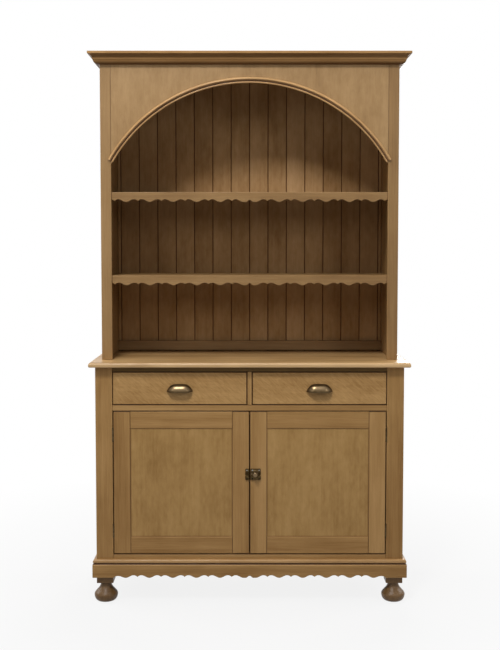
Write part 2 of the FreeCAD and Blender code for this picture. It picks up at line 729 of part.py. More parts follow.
# Runners with guides carry the drawers, kickers above keep them from tipping.
runners = []
kickers = []
runner_rise = (door_ceiling, drawer_low)
guide_rise = (drawer_low, drawer_low + size.guide_height)
kicker_rise = (drawer_top, under_top)
spans = {
    "left": (across(-1, opening - size.runner_lap, base_inner), across(-1, opening, base_inner)),
    "right": (across(1, opening - size.runner_lap, base_inner), across(1, opening, base_inner)),
    "middle": ((-half_muntin - size.runner_lap, half_muntin + size.runner_lap), (-half_muntin, half_muntin)),
}
for word, (wide, narrow) in spans.items():
    runners.append(fuse(f"runner_{word}", board(f"runner_{word}_bed", wide, inside_depth, runner_rise),
                        board(f"runner_{word}_guide", narrow, inside_depth, guide_rise)))
    kickers.append(board(f"kicker_{word}", wide, inside_depth, kicker_rise))
node("drawer_runners", group("drawer_runners", runners))
node("drawer_kickers", group("drawer_kickers", kickers))

# Plinth: scalloped boards on three sides with a moulding along the top.
plinth_rise = (size.plinth_low, size.plinth_low + size.plinth_height)
plinth_half = half_base + size.plinth_thick
plinth_face = front - size.plinth_thick
plinth_front = shaped("plinth_front_blank", "XZ_Plane",
                      [(-plinth_half, plinth_rise[0]), (plinth_half, plinth_rise[0]),
                       (plinth_half, plinth_rise[1]), (-plinth_half, plinth_rise[1])], plinth_face, front)
scalloped(plinth_front, "plinth_scallop", size.plinth_low, half_base - size.plinth_end, plain_end=True)
plinth_ends = {word: board(f"plinth_{word}_blank", across(side, half_base, plinth_half),
                           (plinth_face, rear), plinth_rise) for word, side in SIDES.items()}
plinth = mitred("plinth", half_base, front, size.plinth_thick, plinth_rise, plinth_front, plinth_ends)
node("plinth_boards", group("plinth_boards", plinth))
quirk_top = size.plinth_bead + size.plinth_quirk
bead_start = size.plinth_thick - size.plinth_bead / 2
shoulder = quirk_top + size.plinth_fillet
plinth_section = {
    "height": size.plinth_moulding_height,
    "points": [
        (0, 0),
        (bead_start, 0),
        (size.plinth_thick, size.plinth_bead / 2, bead_start, size.plinth_bead),
        (size.plinth_thick - size.plinth_quirk, size.plinth_bead),
        (size.plinth_thick - size.plinth_quirk, quirk_top),
        (size.plinth_thick, quirk_top),
        (size.plinth_thick, shoulder),
        bowed((size.plinth_thick, shoulder), (size.plinth_ledge, size.plinth_moulding_height), 0.34, 0.71),
        (0, size.plinth_moulding_height),
    ],
}
plinth_lengths = surround("plinth_moulding", half_base, front, size.plinth_thick, plinth_rise[1],
                          plinth_section)
node("plinth_moulding", group("plinth_moulding", plinth_lengths))

# Feet: a square block under each corner with a turned bun below it.
bun_height = size.carcass_low - size.block_height
bun_outline = [
    (0, 0),
    (size.bun_pad, 0),
    bowed((size.bun_pad, 0), (size.bun_radius, size.bun_belly), 0.72, 0.4),
    bowed((size.bun_radius, size.bun_belly), (size.bun_shoulder, size.bun_shoulder_height), 0.27, 0.58),
    bowed((size.bun_shoulder, size.bun_shoulder_height), (size.bun_neck, bun_height), 0.72, 0.45),
    (0, bun_height),
]
blocks = []
buns = []
for word, side in SIDES.items():
    for end, y in (("front", front), ("rear", rear - size.bun_radius - size.block_side / 2)):
        blocks.append(board(f"block_{word}_{end}", across(side, half_base - size.block_side, half_base),
                            (y, y + size.block_side), (bun_height, size.carcass_low)))
        bun = turned(f"bun_{word}_{end}", "XZ_Plane", bun_outline)
        buns.append(place(bun, (half_base - size.block_side / 2) * side, y + size.block_side / 2, 0))
node("foot_blocks", group("foot_blocks", blocks))
node("bun_feet", group("bun_feet", buns))

# The inner bolt of the left door slides up into the stop behind the doors.
door_back = front + size.door_thick
stop_low = door_ceiling - size.stop_height
stop_face = door_back + size.stop_gap
bolt_y = door_back + size.inner_bolt_stand
bolt_top = stop_low - size.inner_bolt_gap
bolt_low = bolt_top - size.inner_bolt_length
plate_low = bolt_low - size.inner_guide_height / 2
socket = rod("inner_bolt_socket", size.inner_bolt_radius + size.inner_bolt_fit, (0, 0, 1),
             (-size.inner_bolt_offset, bolt_y, bolt_top), size.inner_bolt_travel + size.inner_bolt_gap)
stop_block = board("door_stop_blank", (-size.stop_left, size.stop_right),
                   (stop_face, stop_face + size.stop_depth), (stop_low, door_ceiling))
node("door_stop", cut("door_stop", stop_block, socket))
bolt_knob = rod("inner_bolt_knob", size.inner_knob_radius, (0, 1, 0),
                (-size.inner_bolt_offset, bolt_y, bolt_low + size.inner_knob_rise), size.inner_knob_reach)
bolt_bar = rod("inner_bolt_bar", size.inner_bolt_radius, (0, 0, 1),
               (-size.inner_bolt_offset, bolt_y, bolt_low), size.inner_bolt_length)
node("door_bolt", fuse("door_bolt", bolt_bar, bolt_knob))
plate_span = across(-1, size.inner_bolt_offset - size.inner_plate_width / 2,
                    size.inner_bolt_offset + size.inner_plate_width / 2)
guide_depth = (door_back, bolt_y + size.inner_bolt_radius + size.inner_plate_thick)
plate_high = bolt_top - size.inner_guide_height / 2
plate_face = door_back + size.inner_plate_thick
plate = board("inner_plate", plate_span, (door_back, plate_face), (plate_low, plate_high))
guides = [board(f"inner_guide_{i}", plate_span, guide_depth, (z, z + size.inner_guide_height))
          for i, z in enumerate((plate_low, plate_high - size.inner_guide_height))]
bolt_way = rod("inner_bolt_way", size.inner_bolt_radius + size.inner_bolt_fit, (0, 0, 1),
               (-size.inner_bolt_offset, bolt_y, plate_low - size.inner_bolt_gap),
               size.inner_bolt_length + size.inner_guide_height)
bolt_screws = [screw(f"inner_plate_screw_{word}", (0, -1, 0),
                     (size.inner_screw_spread / 2 * side - size.inner_bolt_offset, plate_face,
                      bolt_top - size.inner_screw_drop)) for word, side in SIDES.items()]
node("door_bolt_plate", cut("door_bolt_plate", fuse("inner_plate_whole", plate, *guides), bolt_way,
                            group("inner_plate_screws", bolt_screws)))

# The latch: a case on the right door, a bolt with a knob that slides in it, a keep on the left door.
latch_low = size.latch_height - size.latch_tall / 2
latch_rise = (latch_low, latch_low + size.latch_tall)
latch_end = size.latch_start + size.latch_width
bolt_middle = size.latch_height + size.knob_rise
bolt_rise = (bolt_middle - size.latch_bolt_tall / 2, bolt_middle + size.latch_bolt_tall / 2)
bar_depth = (front - size.latch_fit - size.latch_bolt_thick, front - size.latch_fit)
way_depth = (bar_depth[0] - size.latch_fit, front)
latch_front = way_depth[0] - size.latch_face
bar_start = size.latch_start + size.latch_fit
way_rise = (bolt_rise[0] - size.latch_fit, bolt_rise[1] + size.latch_fit)
way_end = bar_start + size.latch_bolt_length + size.latch_fit
bar_way = board("latch_bar_way", (-size.keep_start - size.latch_travel, way_end), way_depth, way_rise)
slot_half = size.knob_stem + size.latch_fit
slot = board("latch_slot", (size.knob_centre - size.latch_travel - slot_half, size.knob_centre + slot_half),
             (latch_front - size.latch_fit, front), (bolt_middle - slot_half, bolt_middle + slot_half))
case_blank = board("latch_case_blank", (size.latch_start, latch_end), (latch_front, front), latch_rise)
screw_inset = size.screw_head * 2
screw_heights = (latch_low + screw_inset, latch_rise[1] - screw_inset)
latch_screws = [screw(f"latch_screw_{i}_{j}", (0, 1, 0), (x, latch_front, z))
                for i, x in enumerate((size.latch_start + screw_inset, latch_end - screw_inset))
                for j, z in enumerate(screw_heights)]
latch_case = cut("latch_case", case_blank, bar_way, slot, group("latch_screws", latch_screws))
node("latch_case", latch_case)
bar = board("latch_bar", (bar_start, bar_start + size.latch_bolt_length), bar_depth, bolt_rise)
knob_height = size.knob_reach - size.latch_fit
knob_outline = [
    (0, 0),
    (size.knob_stem, 0),
    (size.knob_stem, size.knob_collar),
    (size.knob_face, size.knob_collar),
    (size.knob_radius, (size.knob_collar + knob_height) / 2, size.knob_face, knob_height),
    (0, knob_height),
]
knob = turned("latch_knob", "XZ_Plane", knob_outline)
knob.Placement.Rotation = FreeCAD.Rotation(FreeCAD.Vector(0, 0, 1), FreeCAD.Vector(0, -1, 0))
place(knob, size.knob_centre, front - size.latch_fit, bolt_middle)
node("latch_bolt", fuse("latch_bolt", bar, knob))
keep_blank = board("latch_keep_blank", (-size.keep_start - size.keep_width, -size.keep_start),
                   (latch_front, front), latch_rise)
keep_screws = [screw(f"keep_screw_{i}", (0, 1, 0), (-size.keep_start - size.keep_width / 2, latch_front, z))
               for i, z in enumerate(screw_heights)]
node("latch_keep", cut("latch_keep", keep_blank, bar_way, group("keep_screws", keep_screws)))

# Doors: stiles and rails tenoned together round a flat panel.
fittings = {"left": bolt_screws + keep_screws, "right": latch_screws}
door_rise = (door_sill + size.door_gap, door_ceiling - size.door_gap)
door_depth = (front, door_back)
door_cheek = (size.door_thick - size.tenon_thick) / 2
door_tongue = (front + door_cheek, door_back - door_cheek)
door_near = size.door_gap / 2
door_far = opening - size.door_gap
panel_depth = (front + size.panel_recess, front + size.panel_recess + size.panel_thick)
inner_near = door_near + size.door_member
inner_far = door_far - size.door_member
lower_top = door_rise[0] + size.door_member
upper_low = door_rise[1] - size.door_member
panel_rise = (lower_top - size.panel_groove, upper_low + size.panel_groove)
for word, side in SIDES.items():
    panel_span = across(side, inner_near - size.panel_groove, inner_far + size.panel_groove)
    panel = board(f"{word}_door_panel", panel_span, panel_depth, panel_rise)
    node(f"{word}_door_panel", panel)
    leaves = node(f"{word}_door_hinge_leaves", group(f"{word}_door_hinge_leaves", hinge[word]["door"]))
    all_screws = hinge[word]["door_screws"] + fittings[word]
    screws = node(f"{word}_door_screws", group(f"{word}_door_screws", all_screws))
    tongue_span = across(side, inner_near - size.door_tenon, inner_far + size.door_tenon)
    door_rails = []
    rail_rises = {"lower": (door_rise[0], lower_top), "upper": (upper_low, door_rise[1])}
    for place_word, (low, high) in rail_rises.items():
        tongue = (low + size.tenon_shoulder, high - size.panel_groove)
        if place_word == "upper":
            tongue = (low + size.panel_groove, high - size.tenon_shoulder)
        name = f"{word}_door_{place_word}_rail"
        rail = fuse(f"{name}_whole",
                    board(f"{name}_board", across(side, inner_near, inner_far), door_depth, (low, high)),
                    board(f"{name}_tongue", tongue_span, door_tongue, tongue))
        door_rails.append(cut(name, rail, panel, screws))
    rails_pair = node(f"{word}_door_rails", group(f"{word}_door_rails", door_rails))
    name = f"{word}_door_lock_stile"
    blank = board(f"{name}_blank", across(side, door_near, inner_near), door_depth, door_rise)
    node(name, cut(name, blank, rails_pair, panel, screws))
    name = f"{word}_door_hinge_stile"
    blank = board(f"{name}_blank", across(side, inner_far, door_far), door_depth, door_rise)
    node(name, cut(name, blank, rails_pair, panel, hinge_rooms, leaves, screws))

# Drawers: dovetailed boxes behind flush fronts, each with a cup pull bolted from inside.
drawer_rise = (drawer_low + size.runner_gap, drawer_top - size.drawer_gap)
front_rise = (drawer_low + size.drawer_gap, drawer_top - size.drawer_gap)
drawer_face_back = front + size.drawer_front_thick
drawer_end = drawer_face_back + size.drawer_length
drawer_near = half_muntin + size.drawer_gap
drawer_far = opening - size.drawer_gap
bottom_low = drawer_low + size.drawer_bottom_rise
bottom_rise = (bottom_low, bottom_low + size.drawer_bottom_thick)
TAILS = 3


def side_outline():
    """A drawer side seen from its flat face, with dovetails at its front end."""
    tip = drawer_face_back - size.tail_length
    points = [(drawer_face_back, drawer_rise[0]), (drawer_end, drawer_rise[0]),
              (drawer_end, drawer_rise[1]), (drawer_face_back, drawer_rise[1])]
    pitch = (front_rise[1] - front_rise[0]) / TAILS
    for tail in reversed(range(TAILS)):
        middle = front_rise[0] + pitch * (tail + 0.5)
        half = size.tail_width / 2
        points += [(drawer_face_back, middle + half - size.tail_slope), (tip, middle + half),
                   (tip, middle - half), (drawer_face_back, middle - half + size.tail_slope)]
    return points


for word, side in SIDES.items():
    name = f"{word}_drawer"
    bottom = board(f"{name}_bottom",
                   across(side, drawer_near + size.drawer_side_thick - size.drawer_groove,
                          drawer_far - size.drawer_side_thick + size.drawer_groove),
                   (drawer_face_back - size.drawer_groove, drawer_end), bottom_rise)
    node(f"{name}_bottom", bottom)
    spans = {"inner": (drawer_near, drawer_near + size.drawer_side_thick),
             "outer": (drawer_far - size.drawer_side_thick, drawer_far)}
    walls = []
    for which, span in spans.items():
        blank = shaped(f"{name}_{which}_side_blank", "YZ_Plane", side_outline(), *across(side, *span))
        walls.append(cut(f"{name}_{which}_side", blank, bottom))
    walls.append(board(f"{name}_back", across(side, spans["inner"][1], spans["outer"][0]),
                       (drawer_end - size.drawer_side_thick, drawer_end),
                       (bottom_rise[1], drawer_rise[1] - size.drawer_drop)))
    box = node(f"{name}_box", group(f"{name}_box", walls))
    middle = (drawer_near + drawer_far) / 2 * side
    lip = front_rise[0] + size.pull_rise
    half_pull = size.pull_width / 2
    shells = []
    for which, wall in (("outer", 0), ("inner", size.pull_wall)):
        shell = doc.addObject("Part::Ellipsoid", f"{name}_pull_{which}")
        shell.setExpression("Radius1", text(size.pull_height - wall))
        shell.setExpression("Radius2", text(half_pull - wall))
        shell.setExpression("Radius3", text(size.pull_reach - wall))
        shell.Angle1 = -90
        shell.Angle2 = 90
        shells.append(place(shell, middle, front, lip))
    quarter = board(f"{name}_pull_quarter", (middle - half_pull, middle + half_pull),
                    (front - size.pull_reach, front), (lip, lip + size.pull_height))
    hood = common(f"{name}_pull_hood", cut(f"{name}_pull_shell", *shells), quarter)
    posts = []
    bolts = []
    for index, share in enumerate((-0.5, 0.5)):
        x = middle + size.pull_post_spread * share
        z = lip + size.pull_post_rise
        post = rod(f"{name}_post_{index}_rod", size.pull_post, (0, -1, 0), (x, front, z), size.pull_reach)
        posts.append(common(f"{name}_post_{index}", post, shells[0]))
        shank = rod(f"{name}_bolt_{index}_shank", size.pull_bolt, (0, -1, 0), (x, drawer_face_back, z),
                    size.drawer_front_thick + size.pull_bolt_reach)
        head = rod(f"{name}_bolt_{index}_head", size.pull_bolt_head, (0, 1, 0), (x, drawer_face_back, z),
                   size.pull_bolt_head_thick)
        bolts.append(fuse(f"{name}_bolt_{index}", shank, head))
    bolt_pair = node(f"{name}_pull_bolts", group(f"{name}_pull_bolts", bolts))
    node(f"{name}_pull", cut(f"{name}_pull", fuse(f"{name}_pull_whole", hood, *posts), bolt_pair))
    face = board(f"{name}_front_blank", across(side, drawer_near, drawer_far), (front, drawer_face_back),
                 front_rise)
    node(f"{name}_front", cut(f"{name}_front", face, box, bottom, bolt_pair))

# Rack: sides and stiles, shelves housed in the sides, bevelled boards and a low rail at the back.
# The shelves' tops and the rise of the arch are shares of the rack's height.
LOWER_SHELF = 0.2775
UPPER_SHELF = 0.5506
ARCH_RISE = 0.264
rack_height = size.total_height - size.worktop_height
rack_depth = (rack_front, rack_frame_back)
rack_rise = (size.worktop_height, rack_ceiling)
shelves = []
edgings = []
for word, share in (("lower", LOWER_SHELF), ("upper", UPPER_SHELF)):
    top = size.worktop_height + rack_height * share
    end = rack_inner + size.shelf_housing
    shelves.append(node(f"{word}_shelf", board(f"{word}_shelf", (-end, end), (rack_frame_back, back_face),
                                               (top - size.rack_shelf_thick, top))))
    low = top - size.edging_height
    edging = shaped(f"{word}_edging", "XZ_Plane",
                    [(-rack_opening, low), (rack_opening, low), (rack_opening, top), (-rack_opening, top)],
                    rack_frame_back - size.edging_thick, rack_frame_back)
    scalloped(edging, f"{word}_edging_scallop", low, rack_opening + size.scallop_pitch / 2)
    edgings.append(edging)
node("shelf_edgings", group("shelf_edgings", edgings))
shelf_pair = group("shelves_together", shelves)
rack_sides = []
rack_stiles = []
for word, side in SIDES.items():
    blank = board(f"rack_{word}_side_blank", across(side, rack_inner, half_rack), (rack_frame_back, rear),
                  rack_rise)
    rack_sides.append(cut(f"rack_{word}_side", blank, shelf_pair, rack_dowels))
    stile_span = across(side, rack_opening, half_rack)
    rack_stiles.append(board(f"rack_{word}_stile", stile_span, rack_depth, rack_rise))
node("rack_sides", group("rack_sides", rack_sides))
node("rack_stiles", group("rack_stiles", rack_stiles))
node("rack_back_boards", backing("rack_back_boards", rack_inner, size.rack_board_width,
                                 back_depth, rack_rise))
rail_low = size.worktop_height + size.back_rail_gap
node("rack_back_rail", board("rack_back_rail", (-rack_inner, rack_inner),
                             (back_face - size.back_rail_thick, back_face),
                             (rail_low, rail_low + size.back_rail_height)))

# The arched frieze fits between the stiles, with a moulding bent round the arch.
arch_rise = rack_height * ARCH_RISE
arch_radius = (rack_opening * rack_opening + arch_rise * arch_rise) / (arch_rise * 2)
arch_centre = rack_ceiling - size.frieze_crown - arch_radius
frieze = board("arch_frieze_blank", (-rack_opening, rack_opening), rack_depth, (arch_centre, rack_ceiling))
arch = rod("arch_hole", arch_radius, (0, 1, 0), (0, rack_front - size.frame_thick, arch_centre),
           size.frame_thick * 3)
node("arch_frieze", cut("arch_frieze", frieze, arch))
bead_inner = arch_radius - size.arch_bead_lap
bead_outer = bead_inner + size.arch_bead
round_inner = bead_outer + size.arch_groove
round_outer = round_inner + size.arch_round
ring_outline = [
    (0, bead_inner),
    (-size.arch_groove_reach, bead_inner),
    (-size.arch_bead_reach, (bead_inner + bead_outer) / 2, -size.arch_groove_reach, bead_outer),
    (-size.arch_groove_reach, round_inner),
    (-size.arch_reach, (round_inner + round_outer) / 2, -size.arch_groove_reach, round_outer),
    (0, round_outer),
]
arch_end = arch_radius - arch_rise + size.arch_end_rise
spring = f"asin({text(arch_end / arch_radius)})"
ring = turned("arch_moulding", "YZ_Plane", ring_outline, "H_Axis", f"180 deg - 2 * {spring}")
node("arch_moulding", place(ring, 0, rack_front, arch_centre))

# Top board and mitred cornice.
node("rack_top_board", board("rack_top_board", (-half_rack, half_rack), (rack_front, rear),
                             (rack_ceiling, size.total_height)))
hollow_top = size.cornice_height - size.cornice_fillet
hollow_low = hollow_top - size.cornice_hollow
hollow_start = size.cornice_reach - size.cornice_lip
round_start = size.cornice_waist - size.cornice_step
round_top = hollow_low - size.cornice_step
cornice_section = {
    "height": size.cornice_height,
    "points": [
        (0, 0),
        (size.cornice_foot, 0),
        bowed((size.cornice_foot, 0), (round_start, round_top), 0.68, 0.3),
        (round_start, hollow_low),
        (size.cornice_waist, hollow_low),
        bowed((size.cornice_waist, hollow_low), (hollow_start, hollow_top), 0.28, 0.72),
        (size.cornice_reach, hollow_top),
        (size.cornice_reach, size.cornice_height),
        (0, size.cornice_height),
    ],
}
cornice_lengths = surround("cornice", half_rack, rack_front, size.cornice_reach,
                           size.total_height - size.cornice_height, cornice_section)
node("cornice", group("cornice", cornice_lengths))

doc.recompute()
failed = [item.Label for item in doc.Objects if {"Invalid", "Error"} & set(item.State)]
if failed:
    raise RuntimeError(f"failed objects: {failed}")
for piece in nodes:
    if piece.Shape.isNull() or not piece.Shape.isValid() or not piece.Shape.Solids:
        raise RuntimeError(f"{piece.Label} has no sound solid")
os.makedirs("parts", exist_ok=True)
for piece in nodes:
    piece.Shape.exportStep(f"parts/{piece.Label}.step")
    print(piece.Label, len(piece.Shape.Solids), round(piece.Shape.Volume))
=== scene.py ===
import math
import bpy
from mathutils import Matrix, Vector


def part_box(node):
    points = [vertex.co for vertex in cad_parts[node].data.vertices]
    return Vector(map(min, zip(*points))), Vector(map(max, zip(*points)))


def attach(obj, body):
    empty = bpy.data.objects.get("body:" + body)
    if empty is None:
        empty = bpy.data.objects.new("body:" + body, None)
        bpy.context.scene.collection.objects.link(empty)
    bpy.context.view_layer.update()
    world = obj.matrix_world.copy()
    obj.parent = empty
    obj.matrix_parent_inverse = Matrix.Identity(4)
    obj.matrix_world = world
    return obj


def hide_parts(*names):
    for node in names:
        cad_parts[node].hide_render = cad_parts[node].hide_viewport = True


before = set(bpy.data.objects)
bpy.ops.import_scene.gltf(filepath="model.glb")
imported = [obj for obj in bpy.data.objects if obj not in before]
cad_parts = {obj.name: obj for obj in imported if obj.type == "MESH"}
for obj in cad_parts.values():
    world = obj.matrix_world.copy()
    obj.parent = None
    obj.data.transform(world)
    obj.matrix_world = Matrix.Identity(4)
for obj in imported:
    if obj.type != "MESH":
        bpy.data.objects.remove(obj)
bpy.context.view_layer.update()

import zlib

import bmesh
import bpy
import numpy as np

# Bun feet and their blocks: each foot is turned from one dark-stained block of the same wood, with a round
# belly and a hollow neck, and is dowelled up into a square block that is glued in the corner of the plinth.
BLOCK_SIDE = 0.062
PAD_RADIUS = 0.028
BELLY_RADIUS = 0.044
BELLY_RISE = 0.024
NECK_RADIUS = 0.0185
OGEE_FALL = 2.12
OGEE_POWER = 1.9
FOOT_DARKER = 0.42
DEEP_WOOD = (0.238, 0.126, 0.036)
PLAIN_WOOD = (0.342, 0.198, 0.066)
PALE_WOOD = (0.428, 0.260, 0.097)
WAX_AND_SHADE_BROWN = (0.30, 0.115, 0.028)
AS_IT_IS = (1.0, 1.0, 1.0)
GRAIN_ORDER = {"x": [0, 2, 1], "y": [1, 0, 2], "z": [2, 0, 1]}


class Finish:
    """A material and the nodes that make it. Colours are linear, lengths are metres."""

    def __init__(self, name):
        self.material = bpy.data.materials.new(name)
        self.material.use_nodes = True
        self.tree = self.material.node_tree
        self.shader = self.tree.nodes["Principled BSDF"]

    def set(self, node, sockets):
        """Give sockets a number or link them to another node's output."""
        for key, value in sockets.items():
            if isinstance(value, bpy.types.NodeSocket):
                self.tree.links.new(value, node.inputs[key])
            else:
                node.inputs[key].default_value = value

    def add(self, kind, sockets, output=0, **settings):
        """A new node of a kind, and the output that is used."""
        node = self.tree.nodes.new("ShaderNode" + kind)
        for key, value in settings.items():
            setattr(node, key, value)
        self.set(node, sockets)
        return node.outputs[output]

    def maths(self, operation, first, second=0.0):
        """The answer of one operation on two numbers."""
        return self.add("Math", {0: first, 1: second}, operation=operation)

    def plus(self, first, second):
        return self.maths("ADD", first, second)

    def minus(self, first, second):
        return self.maths("SUBTRACT", first, second)

    def times(self, first, second):
        return self.maths("MULTIPLY", first, second)

    def size(self, value):
        """A number without its sign."""
        return self.maths("ABSOLUTE", value)

    def spread(self, value, low, high, to_low, to_high):
        """A value carried from one range to another, and held at its ends."""
        return self.add("MapRange", {0: value, 1: low, 2: high, 3: to_low, 4: to_high})

    def mix(self, share, first, second):
        """A share of the second colour over the first. The node's colours are its sockets 6 and 7."""
        return self.add("Mix", {0: share, 6: first, 7: second}, 2, data_type="RGBA")

    def noise(self, place, per_metre, detail=2.0, bent=0.0):
        """Noise with so many swells to the metre along each of the three directions, bent a little."""
        stretched = self.add("Mapping", {"Vector": place, "Scale": per_metre})
        return self.add("TexNoise", {"Vector": stretched, "Scale": 1.0, "Detail": detail, "Roughness": 0.55,
                                     "Distortion": bent})

    def bump(self, height, depth):
        """A surface that rises and falls by up to a depth."""
        return self.add("Bump", {"Height": height, "Distance": depth, "Strength": 1.0})


def shade(colour, light, tint):
    """A colour made lighter or darker, and tinted."""
    return tuple(light * part * hue for part, hue in zip(colour, tint)) + (1.0,)


# Swells of the wood's figure to the metre, along the grain, across it and through it.
STREAKS = (1.3, 24.0, 24.0)
FINE_GRAIN = (7.0, 190.0, 190.0)
PORES = (38.0, 1500.0, 1500.0)
BLOTCHES = (5.0, 9.0, 9.0)

# Weights of the figure beside its streaks, and the shares of their sum where the wood is deepest and palest.
FINE_WEIGHT = 0.55
BLOTCH_WEIGHT = 0.5
TONE_WEIGHT = 0.15
DEEPEST = 0.33
PALEST = 0.67

# Where noise opens into pores, how much of a spot pores and old wax with painted shade cover, how light they
# and rubbed wood with painted highlights are, how much duller deep wood is and glossier pale wood, and how
# deep the grain is.
PORE_FROM = 0.56
PORE_TO = 0.72
PORE_COVER = 0.22
PORE_LIGHT = 0.55
WAX_AND_SHADE_COVER = 0.95
WAX_AND_SHADE_LIGHT = 0.25
RUB_AND_HIGHLIGHT_LIGHT = 1.12
DEEP_DULLER = 0.06
PALE_GLOSSIER = 0.05
GRAIN_DEEP = 0.00022


def timber(name, light=1.0, along=None, strip=None, ripple=0.0, mottle=0.0, rough=0.42, streaks=1.0, wax=0.24,
           tint=AS_IT_IS, border=None):
    """Waxed wood in three tones, made lighter or darker and tinted. Its figure is a weighted sum of broad
    streaks, fine grain, blotches and the board's own tone, with leaning ripples or a cloudy mottle where they
    are asked for, and dark pores over it. A new board carries grain, wear and tone as attributes. A solid
    from the drawing takes its grain from its own place, and a back of strips changes tone from board to board
    and is dark in its joints. Wear above nought shows pale rubbed wood, in places as a painted highlight, and
    below nought brown old wax, in places as painted shade. Painted shade also darkens a border, given as the
    middle and half width of a panel and its lower and upper edges."""
    wood = Finish(name)
    wear_and_painted_light = None
    tone = 0.0
    if along is None:
        place = wood.add("Attribute", {}, "Vector", attribute_name="grain")
        wear_and_painted_light = wood.add("Attribute", {}, "Fac", attribute_name="arris")
        tone = wood.add("Attribute", {}, "Fac", attribute_name="tone")
    else:
        parts = wood.tree.nodes.new("ShaderNodeSeparateXYZ")
        wood.set(parts, {0: wood.add("TexCoord", {}, "Object")})
        x = parts.outputs["X"]
        z = parts.outputs["Z"]
        run, aside, deep = [parts.outputs[axis] for axis in GRAIN_ORDER[along]]
        if strip:
            number = wood.maths("FLOOR", wood.maths("DIVIDE", x, strip))
            chance = wood.add("TexWhiteNoise", {"W": number}, noise_dimensions="1D")
            tone = wood.spread(chance, 0.0, 1.0, -0.5, 0.5)
            run = wood.plus(run, wood.times(number, NEXT_BOARD))
            off = wood.size(wood.minus(x, wood.times(wood.plus(number, 0.5), strip)))
            wear_and_painted_light = wood.spread(off, strip / 2 - JOINT_FROM, strip / 2 - JOINT_TO, 0.0, -1.0)
        place = wood.add("CombineXYZ", {0: run, 1: aside, 2: deep})
    broad = wood.noise(place, STREAKS, 3.0)
    fine = wood.noise(place, FINE_GRAIN, 4.0)
    pores = wood.noise(place, PORES, 1.0)
    blotch = wood.noise(place, BLOTCHES, 2.0)
    figure = wood.plus(wood.times(broad, streaks), wood.times(fine, FINE_WEIGHT * streaks))
    figure = wood.plus(figure, wood.times(blotch, BLOTCH_WEIGHT))
    figure = wood.plus(figure, wood.times(tone, TONE_WEIGHT))
    if ripple:
        leaning = wood.add("Mapping", {"Vector": place, "Rotation": (0.0, 0.0, RIPPLE_LEAN)})
        figure = wood.plus(figure, wood.times(wood.noise(leaning, RIPPLES, 3.0, RIPPLE_BENT), ripple))
    if mottle:
        figure = wood.plus(figure, wood.times(wood.noise(place, CLOUDS, 4.0), mottle))
    most = (1 + FINE_WEIGHT) * streaks + BLOTCH_WEIGHT + ripple + mottle
    share = wood.spread(figure, DEEPEST * most, PALEST * most, 0.0, 1.0)
    ramp = wood.tree.nodes.new("ShaderNodeValToRGB")
    ramp.color_ramp.elements[0].color = shade(DEEP_WOOD, light, tint)
    ramp.color_ramp.elements[1].color = shade(PALE_WOOD, light, tint)
    ramp.color_ramp.elements.new(0.5).color = shade(PLAIN_WOOD, light, tint)
    wood.set(ramp, {0: share})
    pitted = wood.spread(pores, PORE_FROM, PORE_TO, 0.0, 1.0)
    colour = wood.mix(wood.times(pitted, PORE_COVER), ramp.outputs[0],
                      shade(DEEP_WOOD, PORE_LIGHT * light, tint))
    # Painted shade darkens the panel along the frame, in its recess.
    if border:
        middle, half, low, high = border
        past_side = wood.minus(wood.size(wood.minus(wood.size(x), middle)), half)
        past_end = wood.minus(wood.size(wood.minus(z, (low + high) / 2)), (high - low) / 2)
        past = wood.maths("MAXIMUM", past_side, past_end)
        border_shade = wood.spread(past, -BORDER_FROM, -BORDER_TO, 0.0, BORDER_SHADE_COVER)
        colour = wood.mix(border_shade, colour, shade(WAX_AND_SHADE_BROWN, BORDER_SHADE_LIGHT * light, tint))
    # Positive wear paints pale rubbed wood and painted highlights; negative wear paints old wax and painted
    # shade.
    if wear_and_painted_light is not None:
        rubbed = wood.times(wear_and_painted_light, wood.spread(blotch, 0.35, 0.65, 0.15, 0.6))
        colour = wood.mix(rubbed, colour, shade(PALE_WOOD, RUB_AND_HIGHLIGHT_LIGHT * light, tint))
        colour = wood.mix(wood.times(wear_and_painted_light, -WAX_AND_SHADE_COVER), colour, shade(WAX_AND_SHADE_BROWN, WAX_AND_SHADE_LIGHT * light, tint))
    gloss = wood.spread(share, 0.0, 1.0, rough + DEEP_DULLER, rough - PALE_GLOSSIER)
    relief = wood.times(wood.minus(fine, pitted), 0.5)
    wood.set(wood.shader, {"Base Color": colour, "Roughness": gloss, "Specular IOR Level": wax,
                           "Normal": wood.bump(relief, GRAIN_DEEP)})
    return wood.material


def carried(rings, first):
    """Faces of a solid whose outline is carried along a path, with its points numbered from a first one on:
    a strip of quads joins each ring of points to the next one, and one face closes each end."""
    count, around = rings.shape[:2]
    ring = first + np.arange(count - 1)[:, None] * around
    point = np.arange(around)[None, :]
    after = (point + 1) % around
    quads = np.stack([ring + point, ring + after, ring + around + after, ring + around + point], axis=2)
    start = first + np.arange(around)
    end = start + (count - 1) * around
    return quads.reshape(-1, 4).tolist() + [start[::-1].tolist(), end.tolist()]


SHARP_FROM = math.radians(40)
EVEN_WEIGHT = 80
CUT_APART = 3.0


